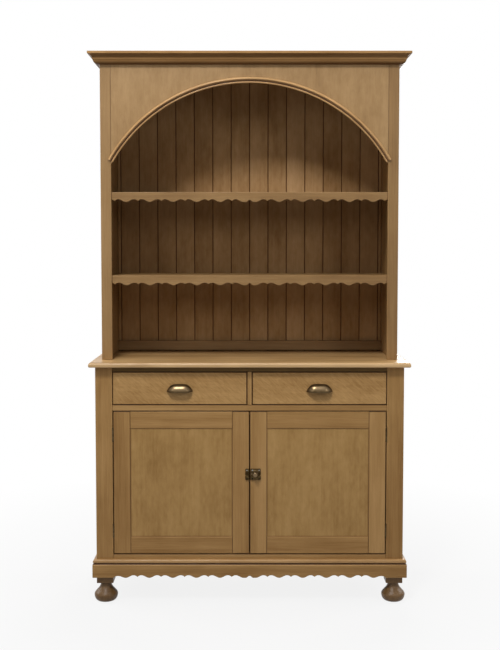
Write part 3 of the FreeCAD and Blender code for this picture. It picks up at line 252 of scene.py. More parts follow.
def piece(name, solids, finish, slot, body, *nodes):
    """One mesh of several solids, each given as rings of points, the wear of each point, which also carries
    painted highlights and painted shade, and the axis that its grain runs along. Every solid is cut from
    another place in the wood and has a tone of its own."""
    points, faces, grain, arris, tone = [], [], [], [], []
    total = 0
    for number, (rings, wear, along) in enumerate(solids):
        chance = np.random.default_rng(zlib.crc32(f"{name} {number}".encode()))
        flat = rings.reshape(-1, 3)
        faces += carried(rings, total)
        total += len(flat)
        points.append(flat)
        grain.append((flat[:, GRAIN_ORDER[along]] + chance.uniform(-CUT_APART, CUT_APART, 3)).ravel())
        arris.append(np.broadcast_to(wear, rings.shape[:2]).ravel())
        tone.append(np.full(len(flat), chance.uniform(-1.0, 1.0)))
    mesh = bpy.data.meshes.new(name)
    mesh.from_pydata(np.concatenate(points).tolist(), [], faces)
    whole = bmesh.new()
    whole.from_mesh(mesh)
    bmesh.ops.recalc_face_normals(whole, faces=whole.faces[:])
    whole.to_mesh(mesh)
    whole.free()
    mesh.attributes.new("grain", "FLOAT_VECTOR", "POINT").data.foreach_set("vector", np.concatenate(grain))
    mesh.attributes.new("arris", "FLOAT", "POINT").data.foreach_set("value", np.concatenate(arris))
    mesh.attributes.new("tone", "FLOAT", "POINT").data.foreach_set("value", np.concatenate(tone))
    mesh.shade_smooth()
    mesh.set_sharp_from_angle(angle=SHARP_FROM)
    mesh.materials.append(finish)
    made = bpy.data.objects.new(name, mesh)
    bpy.context.scene.collection.objects.link(made)
    even = made.modifiers.new("even_shading", "WEIGHTED_NORMAL")
    even.weight = EVEN_WEIGHT
    even.keep_sharp = True
    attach(made, body)
    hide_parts(*nodes)


CORNER_POINTS = 4


def rounded_corners(low, high, radius, insets):
    """Outlines of a rectangle with rounded corners, one for each inset that it is shrunk by: a quarter circle
    about each corner's centre, whose radius is the corner's own less the inset. Also the wear round them,
    which is greatest half way round each corner."""
    turn = np.linspace(0.0, math.pi / 2, CORNER_POINTS)
    angle = turn[None, :] + np.arange(4)[:, None] * math.pi / 2
    right = np.array([1, 0, 0, 1])[:, None]
    upper = np.array([1, 1, 0, 0])[:, None]
    reach = radius - np.array(insets)[:, None, None]
    first = np.where(right, high[0] - radius, low[0] + radius) + reach * np.cos(angle)
    second = np.where(upper, high[1] - radius, low[1] + radius) + reach * np.sin(angle)
    outlines = np.stack([first, second], axis=3).reshape(len(insets), -1, 2)
    return outlines, np.tile(np.sin(2 * turn), 4)


BOARD_EASE = 0.0016
# Painted shade on the rounds and sides of a board along a gap, and old wax in its butted joints.
PAINTED_GAP_EDGE_SHADE = -0.85
PAINTED_GAP_SIDE_SHADE = -0.6
JOINT_WAX = -1.0
ON_FACE = 0.05
PAST_ROUND = 0.95


def eased_board(low, high, along, ease=BOARD_EASE, gap=False, butted=False):
    """A board with every arris taken off and rubbed: a rounded rectangle carried along the grain, drawn in
    over the last bit at each end on a quarter circle. Where a gap runs round the board, its rounds and its
    sides are painted dark as shade in the gap instead, and ends that butt against other boards are dark with
    old wax."""
    axis = "xyz".index(along)
    across = [other for other in range(3) if other != axis]
    start = [low[other] for other in across]
    stop = [high[other] for other in across]
    swing = np.linspace(math.radians(15), math.pi / 2, CORNER_POINTS)
    inset = ease * (1 - np.sin(swing))
    step = ease * (math.cos(swing[0]) - np.cos(swing))
    end_wear = np.sin(np.linspace(0.0, math.pi, CORNER_POINTS)) * (0.0 if butted else 1.0)
    insets = np.concatenate([inset, inset[::-1]])
    outlines, corner_wear = rounded_corners(start, stop, ease, insets)
    rings = np.empty(outlines.shape[:2] + (3,))
    rings[:, :, axis] = np.concatenate([low[axis] + step, high[axis] - step[::-1]])[:, None]
    rings[:, :, across] = outlines
    wear = np.maximum(corner_wear * (insets < 0.5 * ease)[:, None],
                      np.concatenate([end_wear, end_wear[::-1]])[:, None])
    # Painted shade darkens the rounds and sides that face a gap.
    if gap:
        behind = (rings[:, :, 1] - low[1]) / ease
        before = (high[1] - rings[:, :, 1]) / ease
        wear = np.where((behind > ON_FACE) & (before > PAST_ROUND), PAINTED_GAP_SIDE_SHADE, 0.0)
        wear = np.where((behind > ON_FACE) & (behind < PAST_ROUND), PAINTED_GAP_EDGE_SHADE, wear)
        # The outermost rings bound the board's ends, and the two next to each lie on the end's round.
        wear[[0, -1]] = PAINTED_GAP_SIDE_SHADE
        wear[[1, 2, -3, -2]] = PAINTED_GAP_EDGE_SHADE
    if butted:
        wear[[0, 1, -2, -1]] = JOINT_WAX
    return rings, wear, along


def turned(profile, centre, axis="z", around=64):
    """A turned piece: a profile of (radius, distance along the axis) points spun round it."""
    angle = np.linspace(0.0, 2 * math.pi, around, endpoint=False)
    radius, run = np.array(profile).T
    rings = np.empty((len(radius), around, 3))
    main = "xyz".index(axis)
    first, second = [other for other in range(3) if other != main]
    rings[:, :, main] = centre[main] + run[:, None]
    rings[:, :, first] = centre[first] + radius[:, None] * np.cos(angle)
    rings[:, :, second] = centre[second] + radius[:, None] * np.sin(angle)
    return rings, 0.0, axis


def bun_profile(top):
    """Radius against height of a bun foot: a quarter ellipse from the pad out to the belly, and above it an
    ogee that falls from the belly to the neck as exp of minus the 1.9th power of 2.12 times the share of the
    way up."""
    swing = np.linspace(0.0, math.pi / 2, 14)
    low = np.stack([PAD_RADIUS + (BELLY_RADIUS - PAD_RADIUS) * np.sin(swing),
                    BELLY_RISE * (1 - np.cos(swing))], axis=1)
    share = np.linspace(0.0, 1.0, 25)[1:]
    high = np.stack([NECK_RADIUS + (BELLY_RADIUS - NECK_RADIUS) * np.exp(-(OGEE_FALL * share) ** OGEE_POWER),
                     BELLY_RISE + (top - BELLY_RISE) * share], axis=1)
    return np.concatenate([low, high])


# On the blocks under the plinth this dark stained colour is partly painted shade.
foot_wood = timber("dark_foot_wood", light=FOOT_DARKER, rough=0.36, wax=0.28, tint=(1.08, 1.0, 1.1))
block_low, block_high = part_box("foot_blocks")
half_side = BLOCK_SIDE / 2
foot_x = block_high.x - half_side
foot_ends = (block_low.y + half_side, block_high.y - half_side)
foot_spots = [(side * foot_x, end) for side in (-1, 1) for end in foot_ends]
bun = bun_profile(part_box("bun_feet")[1].z)
piece("turned_bun_feet", [turned(bun, (x, y, 0.0)) for x, y in foot_spots], foot_wood, "turned_feet",
      "dresser", "bun_feet")
piece("square_foot_blocks",
      [eased_board((x - half_side, y - half_side, block_low.z),
                   (x + half_side, y + half_side, block_high.z), "z") for x, y in foot_spots],
      foot_wood, "turned_feet", "dresser", "foot_blocks")

# Base carcass: solid board sides rebated for the back, and a face frame of stiles, rails and a short muntin,
# tenoned and glued together and planed flush, then waxed. The rail under the worktop is painted dark as
# shade.
polished_wood = timber("polished_wood", light=1.05, tint=(1.04, 1.0, 1.03))
rail_wood_in_painted_shade = timber("painted_shade_rail_wood", light=0.45, wax=0.1)


def sides_of(node):
    """Lowest and highest corners of a node's left half and right half."""
    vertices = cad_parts[node].data.vertices
    spots = np.empty(3 * len(vertices))
    vertices.foreach_get("co", spots)
    spots = spots.reshape(-1, 3)
    return [(half.min(0), half.max(0)) for half in (spots[spots[:, 0] < 0], spots[spots[:, 0] > 0])]


base_left, base_right = sides_of("base_sides")
piece("base_side_boards", [eased_board(low, high, "z") for low, high in (base_left, base_right)],
      polished_wood, "polished_wood", "dresser", "base_sides")
stile_left, stile_right = sides_of("base_stiles")
piece("base_frame_stiles", [eased_board(low, high, "z") for low, high in (stile_left, stile_right)],
      polished_wood, "polished_wood", "dresser", "base_stiles")
base_half = base_right[1][0]
base_opening = stile_right[0][0]
frame_front = stile_right[0][1]
frame_back = stile_right[1][1]
for rail, finish in (("base_top_rail", rail_wood_in_painted_shade), ("base_middle_rail", polished_wood),
                     ("base_bottom_rail", polished_wood)):
    low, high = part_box(rail)
    board = eased_board((-base_opening, frame_front, low.z), (base_opening, frame_back, high.z), "x",
                        gap=True, butted=True)
    piece(f"{rail}_board", [board], finish, "polished_wood", "dresser", rail)
muntin_low, muntin_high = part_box("drawer_muntin")
rail_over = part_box("base_top_rail")[0].z
rail_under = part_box("base_middle_rail")[1].z
muntin = eased_board((muntin_low.x, frame_front, rail_under), (muntin_high.x, frame_back, rail_over), "z",
                     gap=True)
piece("drawer_muntin_post", [muntin], polished_wood, "polished_wood", "dresser", "drawer_muntin")

# Inside of the base: floor, shelf on cleats, drawer runners and kickers, door stop and boarded back, all of
# the same wood, planed but left plain and unwaxed, so paler and duller than the front.
PLAIN_TINT = (1.02, 1.0, 1.25)
BASE_BACK_STRIP = 0.139

# Distances from a joint between back boards over which the wood is darkened, and how far on along the wood
# the next board is cut.
JOINT_FROM = 0.0024
JOINT_TO = 0.0010
NEXT_BOARD = 3.7
base_backing = timber("base_back_boarding", along="z", strip=BASE_BACK_STRIP, rough=0.6, wax=0.12,
                      tint=PLAIN_TINT)
inside_long = timber("plain_inside_wood", light=1.12, along="x", rough=0.6, wax=0.12, tint=PLAIN_TINT)
inside_deep = timber("plain_inside_runners", light=1.12, along="y", rough=0.6, wax=0.12, tint=PLAIN_TINT)


def refinish(finish, *nodes):
    """Solids kept from the drawing, with a new finish in their own slots."""
    for name in nodes:
        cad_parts[name].material_slots[0].material = finish


refinish(inside_long, "cupboard_floor", "cupboard_shelf", "door_stop", "rack_dowels")
refinish(inside_deep, "shelf_cleats", "drawer_runners", "drawer_kickers")
refinish(base_backing, "base_back_boards")

# Plinth: a board along the front and each end, mitred at the corners and pinned to the base, with a
# scalloped lower edge cut along the front, and a small bead-and-ovolo moulding planted on its top.
LOBE_FIRST = 0.0225
LOBE_PITCH = 0.088
NOTCH_AT = 0.0292
NOTCH_RISE = 0.0098
NOTCH_POWER = 2.2
CUSP_RISE = 0.0036
MIDDLE_HALF = 0.014
MIDDLE_RISE = 0.8
END_NOTCH = 0.6
END_RISE = 0.7
END_POWER = 2.6
PLINTH_LAST = 0.4625
PLINTH_PLAIN = 0.5085
PLINTH_EASE = 0.0034


def scallop_rise(x, last_lobe=None, plain_from=None):
    """Height of a scalloped edge above its lowest line, at a distance from the middle. From a lobe it rises
    on half a cosine to a notch, and falls from there as a power of 2.2 to the cusp half way to the next
    lobe. One swell of a cosine fills the notch at the middle. Past the last lobe a smaller notch falls as a
    power of 2.6 to the plain end."""
    away = np.abs(x)
    off = np.abs((away - LOBE_FIRST + LOBE_PITCH / 2) % LOBE_PITCH - LOBE_PITCH / 2)
    climb = (1 - np.cos(math.pi * np.clip(off / NOTCH_AT, 0.0, 1.0))) / 2
    fall = np.clip((off - NOTCH_AT) / (LOBE_PITCH / 2 - NOTCH_AT), 0.0, 1.0) ** NOTCH_POWER
    rise = NOTCH_RISE * climb - (NOTCH_RISE - CUSP_RISE) * fall
    middle = MIDDLE_RISE * NOTCH_RISE * (1 + np.cos(math.pi * np.clip(away / MIDDLE_HALF, 0.0, 1.0))) / 2
    rise = np.where(away < LOBE_FIRST, middle, rise)
    if plain_from:
        share = np.clip((away - last_lobe) / (plain_from - last_lobe), 0.0, 1.0)
        up = (1 - np.cos(math.pi * np.clip(share / END_NOTCH, 0.0, 1.0))) / 2
        down = np.clip((share - END_NOTCH) / (1 - END_NOTCH), 0.0, 1.0) ** END_POWER
        rise = np.where(away > last_lobe, END_RISE * NOTCH_RISE * up * (1 - down), rise)
    return rise


EDGE_STEP = 0.0022
MIDDLE_STATION = 0.010


def edge_stations(half):
    """Distances from the middle at which a scalloped edge is worked out, with every cusp among them."""
    even = np.linspace(0.0, half, int(half / EDGE_STEP))
    cusps = np.arange(LOBE_FIRST + LOBE_PITCH / 2, half, LOBE_PITCH)
    right = np.unique(np.concatenate([even, cusps, [MIDDLE_STATION]]))
    return np.concatenate([-right[:0:-1], right])


def shaped_board(runs, low, high, near, far, ease, mitre=False, along="x"):
    """A board across the front whose lower edge is shaped: the same rounded section at each station, with its
    lower corners on the shaped line. A mitred end follows the depth, and a butted end is dark with old
    wax."""
    outlines, wear = rounded_corners((near, 0.0), (far, 1.0), ease, [0.0])
    depth, rise = outlines[0].T
    rings = np.empty((len(runs), len(depth), 3))
    rings[:, :, 0] = runs[:, None]
    rings[:, :, 1] = depth
    rings[:, :, 2] = np.where(rise < 0.5, low[:, None] + rise, high - 1.0 + rise)
    wear_and_painted_light = np.tile(wear, (len(runs), 1))
    if mitre:
        rings[0, :, 0] -= far - depth
        rings[-1, :, 0] += far - depth
    else:
        wear_and_painted_light[[0, -1]] = JOINT_WAX
    return rings, wear_and_painted_light, along


# The upper front arris of the plinth, which is the two inner points of the outline's second corner, is rubbed
# to bare wood and carries a painted highlight.
UPPER_ARRIS = slice(5, 7)
RUB_AND_PAINTED_HIGHLIGHT = 2.0
plinth_low, plinth_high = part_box("plinth_boards")
runs = edge_stations(base_half)
plinth_edge = plinth_low.z + scallop_rise(runs, PLINTH_LAST, PLINTH_PLAIN)
plinth_front = shaped_board(runs, plinth_edge, plinth_high.z, plinth_low.y, frame_front, PLINTH_EASE,
                            mitre=True)
plinth_front[1][:, UPPER_ARRIS] = RUB_AND_PAINTED_HIGHLIGHT
plinth_solids = [plinth_front]
for side in (-1, 1):
    outer = side * plinth_high.x
    inner = side * base_half
    board, wear, along = eased_board((min(inner, outer), frame_front, plinth_low.z),
                                     (max(inner, outer), plinth_high.y, plinth_high.z), "y")
    front_half = len(board) // 2
    board[:front_half, :, 1] -= np.abs(board[:front_half, :, 0] - inner)
    plinth_solids.append((board, wear, along))
piece("scalloped_plinth", plinth_solids, polished_wood, "polished_wood", "dresser", "plinth_boards")


def arc_between(start, end, bow, steps=7):
    """Points of a curve from a start to an end, bowed to one side by a share of its length: a parabola
    across the straight line between them."""
    share = np.linspace(0.0, 1.0, steps)[:, None]
    start = np.array(start)
    chord = np.array(end) - start
    aside = np.array([chord[1], -chord[0]])
    return start + share * chord + 4 * bow * share * (1 - share) * aside


SHARP_TURN = math.radians(30)


def section_wear_and_shade(section):
    """Wear round a section of a moulding: the angle that it turns outwards by at each point, over 30 degrees
    and held within one. It is below nought in the hollows, where it darkens the wood as painted shade."""
    before = section - np.roll(section, 1, axis=0)
    after = np.roll(section, -1, axis=0) - section
    cross = before[:, 0] * after[:, 1] - before[:, 1] * after[:, 0]
    turn = np.arctan2(cross, (before * after).sum(axis=1))
    return np.clip(turn / SHARP_TURN, -1.0, 1.0)


def moulding_lengths(section, half, face, rear, low, painted_shade):
    """Three lengths of a moulding, carried along one end, across the front and back along the other end, each
    with its grain along it. Its section is (reach, height), and at a mitred corner it stands out equally to
    the side and to the front. Painted shade lowers the wear round the section."""
    reach, height = section.T
    corners = np.array([(-half, rear), (-half, face), (half, face), (half, rear)])
    outward = np.array([(-1, 0), (-1, -1), (1, -1), (1, 0)])
    rings = np.empty((len(corners), len(section), 3))
    rings[:, :, :2] = corners[:, None] + outward[:, None] * reach[None, :, None]
    rings[:, :, 2] = low + height
    wear = np.maximum(section_wear_and_shade(section) - painted_shade, -1.0)
    return [(rings[end:end + 2], wear, along) for end, along in ((0, "y"), (1, "x"), (2, "y"))]


MM = 0.001
# The bead at the foot of the plinth moulding is darkened as painted shade.
BEAD_TOP = 0.0033
BEAD_SHADE = 1.6
plinth_section = MM * np.concatenate([
    [(-2, 0)], arc_between((11.6, 0), (11.6, 3.2), 0.5),
    [(7, 3.4), (7, 7.2), (11.8, 7.2), (12.4, 7.8), (12.4, 11)],
    arc_between((12.4, 11), (5, 19), 0.2)[1:], [(-2, 19)]])
bead_shade = np.where(plinth_section[:, 1] < BEAD_TOP, BEAD_SHADE, 0.0)
moulding_low, moulding_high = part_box("plinth_moulding")
moulding_wood = timber("moulding_wood", light=1.15, rough=0.32, wax=0.36, tint=(1.03, 1.0, 1.1))
piece("plinth_top_moulding",
      moulding_lengths(plinth_section, base_half, frame_front, moulding_high.y, moulding_low.z, bead_shade),
      moulding_wood, "polished_wood", "dresser", "plinth_moulding")

# Worktop: boards jointed edge to edge into one top, with a rounded nosing along the front and both ends,
# and a straight sawn edge at the back. It is fixed down on the base with buttons from below.
NOSE_UPPER = 0.009
NOSE_LOWER = 0.005
TOP_CORNER = 0.004


def nosed_top(low, high):
    """A slab as a stack of outlines: drawn in at the front and the ends by a quarter circle below, straight
    between, and drawn in by a larger quarter circle above."""
    swing = np.linspace(math.radians(8), math.pi / 2, 7)
    inset = np.concatenate([NOSE_LOWER * (1 - np.sin(swing)), NOSE_UPPER * (1 - np.sin(swing[::-1]))])
    rise = np.concatenate([low.z + NOSE_LOWER * (math.cos(swing[0]) - np.cos(swing)),
                           high.z - NOSE_UPPER * (math.cos(swing[0]) - np.cos(swing[::-1]))])
    turn = np.linspace(0.0, math.pi / 2, 5)
    front_left = np.stack([low.x + TOP_CORNER * (1 - np.cos(turn)),
                           low.y + TOP_CORNER * (1 - np.sin(turn))], axis=1)
    front_right = front_left[::-1] * (-1, 1)
    stations = np.linspace(low.x, high.x, 9)[1:-1]
    edge = np.stack([stations, np.full(len(stations), low.y)], axis=1)
    back = np.array([(high.x, high.y), (low.x, high.y)])
    outline = np.concatenate([front_left, edge, front_right, back])
    at_end = np.abs(outline[:, :1]) > high.x - 2 * TOP_CORNER
    toward = np.where(outline[:, :1] < 0, 1.0, -1.0) * at_end
    inward = np.concatenate([toward, np.where(outline[:, 1:] < high.y - TOP_CORNER, 1.0, 0.0)], axis=1)
    spots = outline[None] + inset[:, None, None] * inward[None]
    heights = np.broadcast_to(rise[:, None, None], spots.shape[:2] + (1,))
    # The whole nosing is rubbed pale, which also paints the highlight along it.
    wear = np.sin(np.concatenate([swing, swing[::-1]]))
    return np.concatenate([spots, heights], axis=2), wear[:, None], "x"


worktop_wood = timber("worktop_wood", light=1.6, rough=0.36, wax=0.7, tint=(0.94, 1.0, 1.25))
piece("nosed_worktop", [nosed_top(*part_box("worktop"))], worktop_wood, "polished_wood", "dresser", "worktop")

# Drawers: fronts of rippled wood with softened edges, lap-dovetailed to thin plain sides, with a loose bottom
# slid into grooves. Each runs on wooden runners behind the frame.
DRAWER_EASE = 0.0026
RIPPLES = (170.0, 30.0, 30.0)
RIPPLE_LEAN = math.radians(-50)
RIPPLE_BENT = 0.9
drawer_wood = timber("rippled_drawer_wood", light=1.42, ripple=0.8, rough=0.38, streaks=0.5,
                     tint=(0.99, 1.0, 1.12))
for side in ("left", "right"):
    body = f"{side}_drawer"
    low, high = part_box(f"{body}_front")
    piece(f"{side}_drawer_face", [eased_board(low, high, "x", DRAWER_EASE, gap=True)], drawer_wood,
          "polished_wood", body, f"{body}_front")
    refinish(inside_deep, f"{body}_box")
    refinish(inside_long, f"{body}_bottom")

# Cup pulls: thin cast brass shells, a quarter of a squashed ball open underneath, with two posts cast inside
# that take bolts from behind the drawer front. The brass is aged and brown, with a painted highlight in a
# band.
PULL_WALL = 0.0022
PULL_DIP = 0.0035
SHELL_POWER = 4.2
SHELL_END = 0.997
SHELL_LEAST = 0.004
HIGHLIGHT_AT = 0.6
HIGHLIGHT_HALF = 0.32
PAINTED_HIGHLIGHT_RUB = 1.5
PULL_SKIN = -0.9
POST_SPREAD = 0.031
POST_RADIUS = 0.005
POST_RISE = 0.009
POST_LONG = 0.0195
METAL_CLOUDS = (70.0, 70.0, 70.0)
METAL_SPECKS = (900.0, 900.0, 900.0)
METAL_SCRATCHES = (60.0, 900.0, 2400.0)
METAL_DEEP = 0.00008
SPECK_WEIGHT = 0.35
SKIN_FROM = 0.5
SKIN_TO = 0.85
RUBBED_GLOSSIER = 0.06
SKIN_DULLER = 0.14


def old_metal(name, bright, dull, rough, patina=0.6):
    """Aged metal: bright where it is handled, with a brown skin in drifting patches, fine scratches and a
    slightly uneven cast surface. Wear rubs the skin off, and wear below nought thickens it; on the pulls and
    the catch the wear also carries painted highlights and painted shade."""
    metal = Finish(name)
    spot = metal.add("TexCoord", {}, "Object")
    wear_and_painted_light = metal.add("Attribute", {}, "Fac", attribute_name="arris")
    cloud = metal.noise(spot, METAL_CLOUDS, 4.0)
    speck = metal.noise(spot, METAL_SPECKS, 2.0)
    scratch = metal.noise(spot, METAL_SCRATCHES, 2.0)
    patches = metal.plus(cloud, metal.times(speck, SPECK_WEIGHT))
    skin = metal.spread(patches, SKIN_FROM, SKIN_TO, 0.0, patina)
    skin = metal.minus(skin, wear_and_painted_light)
    colour = metal.mix(skin, bright + (1.0,), dull + (1.0,))
    gloss = metal.spread(metal.plus(skin, scratch), 0.3, 1.4, rough - RUBBED_GLOSSIER, rough + SKIN_DULLER)
    relief = metal.plus(metal.times(speck, 0.6), metal.times(scratch, 0.4))
    metal.set(metal.shader, {"Base Color": colour, "Metallic": 1.0, "Roughness": gloss,
                             "Normal": metal.bump(relief, METAL_DEEP)})
    return metal.material


def cup_shell(low, high):
    """Sections of the shell across its width. Each is a quarter ellipse from the lip up to the drawer, scaled
    by one less the 4.2th power of the share of the half width, which leaves a flat crown and pointed ears,
    with a smaller one inside it. The lip dips by the same scale. A painted highlight brightens the shell in
    a band between the dark lip and the dark crown."""
    middle = (low[0] + high[0]) / 2
    half = (high[0] - low[0]) / 2
    reach = high[1] - low[1]
    rise = high[2] - low[2]
    share = np.linspace(-SHELL_END, SHELL_END, 71)[:, None]
    outer = 1 - np.abs(share) ** SHELL_POWER
    inner = np.clip(1 - np.abs(share * half / (half - PULL_WALL)) ** SHELL_POWER, SHELL_LEAST, 1.0)
    swing = np.linspace(0.0, math.pi / 2, 17)
    out = np.concatenate([reach * outer * np.cos(swing[::-1]),
                          (reach - PULL_WALL) * inner * np.cos(swing)], axis=1)
    up = np.concatenate([rise * outer * np.sin(swing[::-1]),
                         (rise - PULL_WALL) * inner * np.sin(swing)], axis=1)
    rings = np.empty(out.shape + (3,))
    rings[:, :, 0] = middle + half * share
    rings[:, :, 1] = high[1] - out
    rings[:, :, 2] = low[2] + up - PULL_DIP * outer * (1 - up / rise)
    # A band of painted highlight across the outer face of the shell.
    band = np.exp(-((swing[::-1] - HIGHLIGHT_AT) / HIGHLIGHT_HALF) ** 2) * (1 - share ** 6)
    wear = np.concatenate([PAINTED_HIGHLIGHT_RUB * band + PULL_SKIN, np.full(band.shape, PULL_SKIN)], axis=1)
    return rings, wear, "x"


aged_brass = old_metal("aged_brass", (0.165, 0.114, 0.062), (0.07, 0.045, 0.02), 0.35)
for side in ("left", "right"):
    body = f"{side}_drawer"
    low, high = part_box(f"{body}_pull")
    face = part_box(f"{body}_front")[0].y
    middle = (low.x + high.x) / 2
    post = [(POST_RADIUS, 0.0), (POST_RADIUS, -POST_LONG)]
    posts = [turned(post, (middle + way * POST_SPREAD, face, low.z + POST_RISE), "y", 24) for way in (-1, 1)]
    piece(f"{side}_cup_pull", [cup_shell(low, (high.x, face, high.z))] + posts, aged_brass, "aged_brass",
          body, f"{body}_pull")

# Doors: framed and panelled, with tenoned rails and stiles round a thin flat panel that floats in a groove,
# a little behind the frame. The panels are mottled boards with upright grain, with painted shade along the
# frame.
DOOR_EASE = 0.0022
DOOR_STILES = ("hinge_stile", "lock_stile")
CLOUDS = (26.0, 60.0, 60.0)

# Distances from a panel's edge over which painted shade darkens it, how much of it the shade covers, and
# how light the shade is.
BORDER_FROM = 0.0055
BORDER_TO = 0.0005
BORDER_SHADE_COVER = 0.55
BORDER_SHADE_LIGHT = 0.4
stile_low, stile_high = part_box("right_door_hinge_stile")
member = stile_high.x - stile_low.x
panel_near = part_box("right_door_lock_stile")[0].x + member
rails_low, rails_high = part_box("right_door_rails")
panel_wood = timber("mottled_panel_wood", light=1.13, along="z", mottle=0.4, rough=0.40, streaks=0.35,
                    border=((panel_near + stile_low.x) / 2, (stile_low.x - panel_near) / 2,
                            rails_low.z + member, rails_high.z - member))
for side in ("left", "right"):
    body = f"{side}_door"
    for stile in DOOR_STILES:
        low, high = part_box(f"{body}_{stile}")
        piece(f"{side}_{stile}_board", [eased_board(low, high, "z", DOOR_EASE, gap=True)], polished_wood,
              "polished_wood", body, f"{body}_{stile}")
    first_stile, second_stile = sorted(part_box(f"{body}_{stile}")[0].x for stile in DOOR_STILES)
    rails = [eased_board((first_stile + member, low.y, edge), (second_stile, high.y, edge + member), "x",
                         DOOR_EASE, butted=True)
             for edge in (rails_low.z, rails_high.z - member)]
    piece(f"{side}_door_rail_boards", rails, polished_wood, "polished_wood", body, f"{body}_rails")
    refinish(panel_wood, f"{body}_panel")

# Butt hinges, the small bolt inside the left door, screws and bolts: the hinges and the bolt are drawn brass
# gone brown, let into the wood or screwed on, and darkened further as painted shade so that the hinges sink
# into the shade of the door gaps. The screws are plain steel.
dark_brass = old_metal("dark_brass", (0.10, 0.07, 0.036), (0.035, 0.022, 0.01), 0.48, 0.9)
steel = old_metal("dull_steel", (0.42, 0.41, 0.39), (0.16, 0.145, 0.13), 0.42)
refinish(dark_brass, "hinge_frame_leaves", "hinge_pins", "left_door_hinge_leaves", "right_door_hinge_leaves",
         "door_bolt", "door_bolt_plate")
refinish(steel, "hinge_frame_screws", "left_door_screws", "right_door_screws", "left_drawer_pull_bolts",
         "right_drawer_pull_bolts")

# Cupboard catch: a cast brass case screwed on the right door, a keep on the left door, and a bolt that slides
# between them by a round knob. Case and keep are open along the bolt, and rounded over like small cushions.
CATCH_LIP = 0.0022
CATCH_CORNER = 0.0014
CORNER_MOST = 0.45
CHANNEL_HALF = 0.0054
FLOOR_THICK = 0.0002
FLOOR_EASE = 0.4 * FLOOR_THICK
ROUND_OVER = 0.0030
LEDGE = 0.0032
LEDGE_OUT = 0.3
ROUND_OUT = 0.4
UPPER_PAINTED_HIGHLIGHT = 0.35
LOWER_PAINTED_SHADE = -0.5
KNOB_X = 0.021
KNOB_Z = 0.487
KNOB_RADIUS = 0.010
KNOB_FLAT = 0.006
KNOB_DEEP = 0.016
KNOB_RUB_AND_HIGHLIGHT = 0.6
STEM_RADIUS = 0.003
BOLT_TALL = 0.010
BOLT_THICK = 0.004
BOLT_EASE = 0.0006
latch_brass = old_metal("latch_brass", (0.13, 0.09, 0.042), (0.055, 0.033, 0.012), 0.58, 0.9)


def cushioned(low, high, ledge, bright):
    """A block seen from the front as a rounded rectangle with a thin dark ledge along its top, painted as a
    dark reflection. Below the ledge it is drawn in towards its face on a quarter ellipse: the outline shrinks
    by the round-over while the depth grows. Its corners stay under half its height. The round carries a
    painted highlight, or painted shade below nought."""
    deep = high[1] - low[1]
    swing = np.linspace(0.0, math.radians(84), 7)
    inset = np.concatenate([[0.0, 0.0], ROUND_OVER * (1 - np.cos(swing))])
    grown = ROUND_OUT + (1 - ROUND_OUT) * np.sin(swing) / math.sin(swing[-1])
    depth = deep * np.concatenate([[0.0, LEDGE_OUT], grown])
    top = high[2] - np.concatenate([[0.0, 0.0], np.full(len(swing), ledge)])
    corner = min(ROUND_OVER + CATCH_CORNER, CORNER_MOST * (high[2] - ledge - low[2]))
    outlines, _ = rounded_corners((low[0], low[2]), (high[0], top[:, None, None]), corner, inset)
    rings = np.empty(outlines.shape[:2] + (3,))
    rings[:, :, [0, 2]] = outlines
    rings[:, :, 1] = high[1] - depth[:, None]
    painted_light = np.concatenate([[-1.0, -1.0], bright * np.sin(2 * swing)])
    return rings, painted_light[:, None], "x"


def ball_knob(back, front):
    """A knob turned about Y: a flat at the back, half an ellipse out to its edge and in again to a flat at
    the front."""
    swing = np.linspace(0.0, math.pi, 15)
    middle = (back + front) / 2
    profile = np.stack([KNOB_FLAT + (KNOB_RADIUS - KNOB_FLAT) * np.sin(swing),
                        middle + (back - middle) * np.cos(swing)], axis=1)
    return turned(profile, (KNOB_X, 0.0, KNOB_Z), "y", 48)


case_low, case_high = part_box("latch_case")
keep_low, keep_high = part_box("latch_keep")
case_low.x -= CATCH_LIP
keep_high.x += CATCH_LIP
door_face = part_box("right_door_lock_stile")[0].y
for name, body, node, low, high in (("latch_case_cover", "right_door", "latch_case", case_low, case_high),
                                    ("latch_keep_cover", "left_door", "latch_keep", keep_low, keep_high)):
    upper = cushioned((low.x, low.y, KNOB_Z + CHANNEL_HALF), (high.x, door_face, high.z), LEDGE, UPPER_PAINTED_HIGHLIGHT)
    lower = cushioned(low, (high.x, door_face, KNOB_Z - CHANNEL_HALF), 0.0, LOWER_PAINTED_SHADE)
    channel, _, along = eased_board((low.x, door_face - FLOOR_THICK, KNOB_Z - CHANNEL_HALF),
                                    (high.x, door_face, KNOB_Z + CHANNEL_HALF), "x", FLOOR_EASE)
    # The channel between the two blocks is painted dark as the shade in the slot.
    piece(name, [upper, lower, (channel, -1.0, along)], latch_brass, "aged_brass", body, node)
bolt_low, bolt_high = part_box("latch_bolt")
bolt_face = bolt_high.y - BOLT_THICK
knob_back = bolt_low.y + KNOB_DEEP
bar = eased_board((bolt_low.x, bolt_face, KNOB_Z - BOLT_TALL / 2),
                  (bolt_high.x, bolt_high.y, KNOB_Z + BOLT_TALL / 2), "x", BOLT_EASE)
stem = turned([(STEM_RADIUS, bolt_face), (STEM_RADIUS, knob_back)], (KNOB_X, 0.0, KNOB_Z), "y", 24)
knob, _, along = ball_knob(knob_back, bolt_low.y)
# The knob is rubbed bright, which also paints its highlight.
piece("latch_bolt_and_knob", [bar, stem, (knob, KNOB_RUB_AND_HIGHLIGHT, along)], aged_brass, "aged_brass", "latch_slide",
      "latch_bolt")

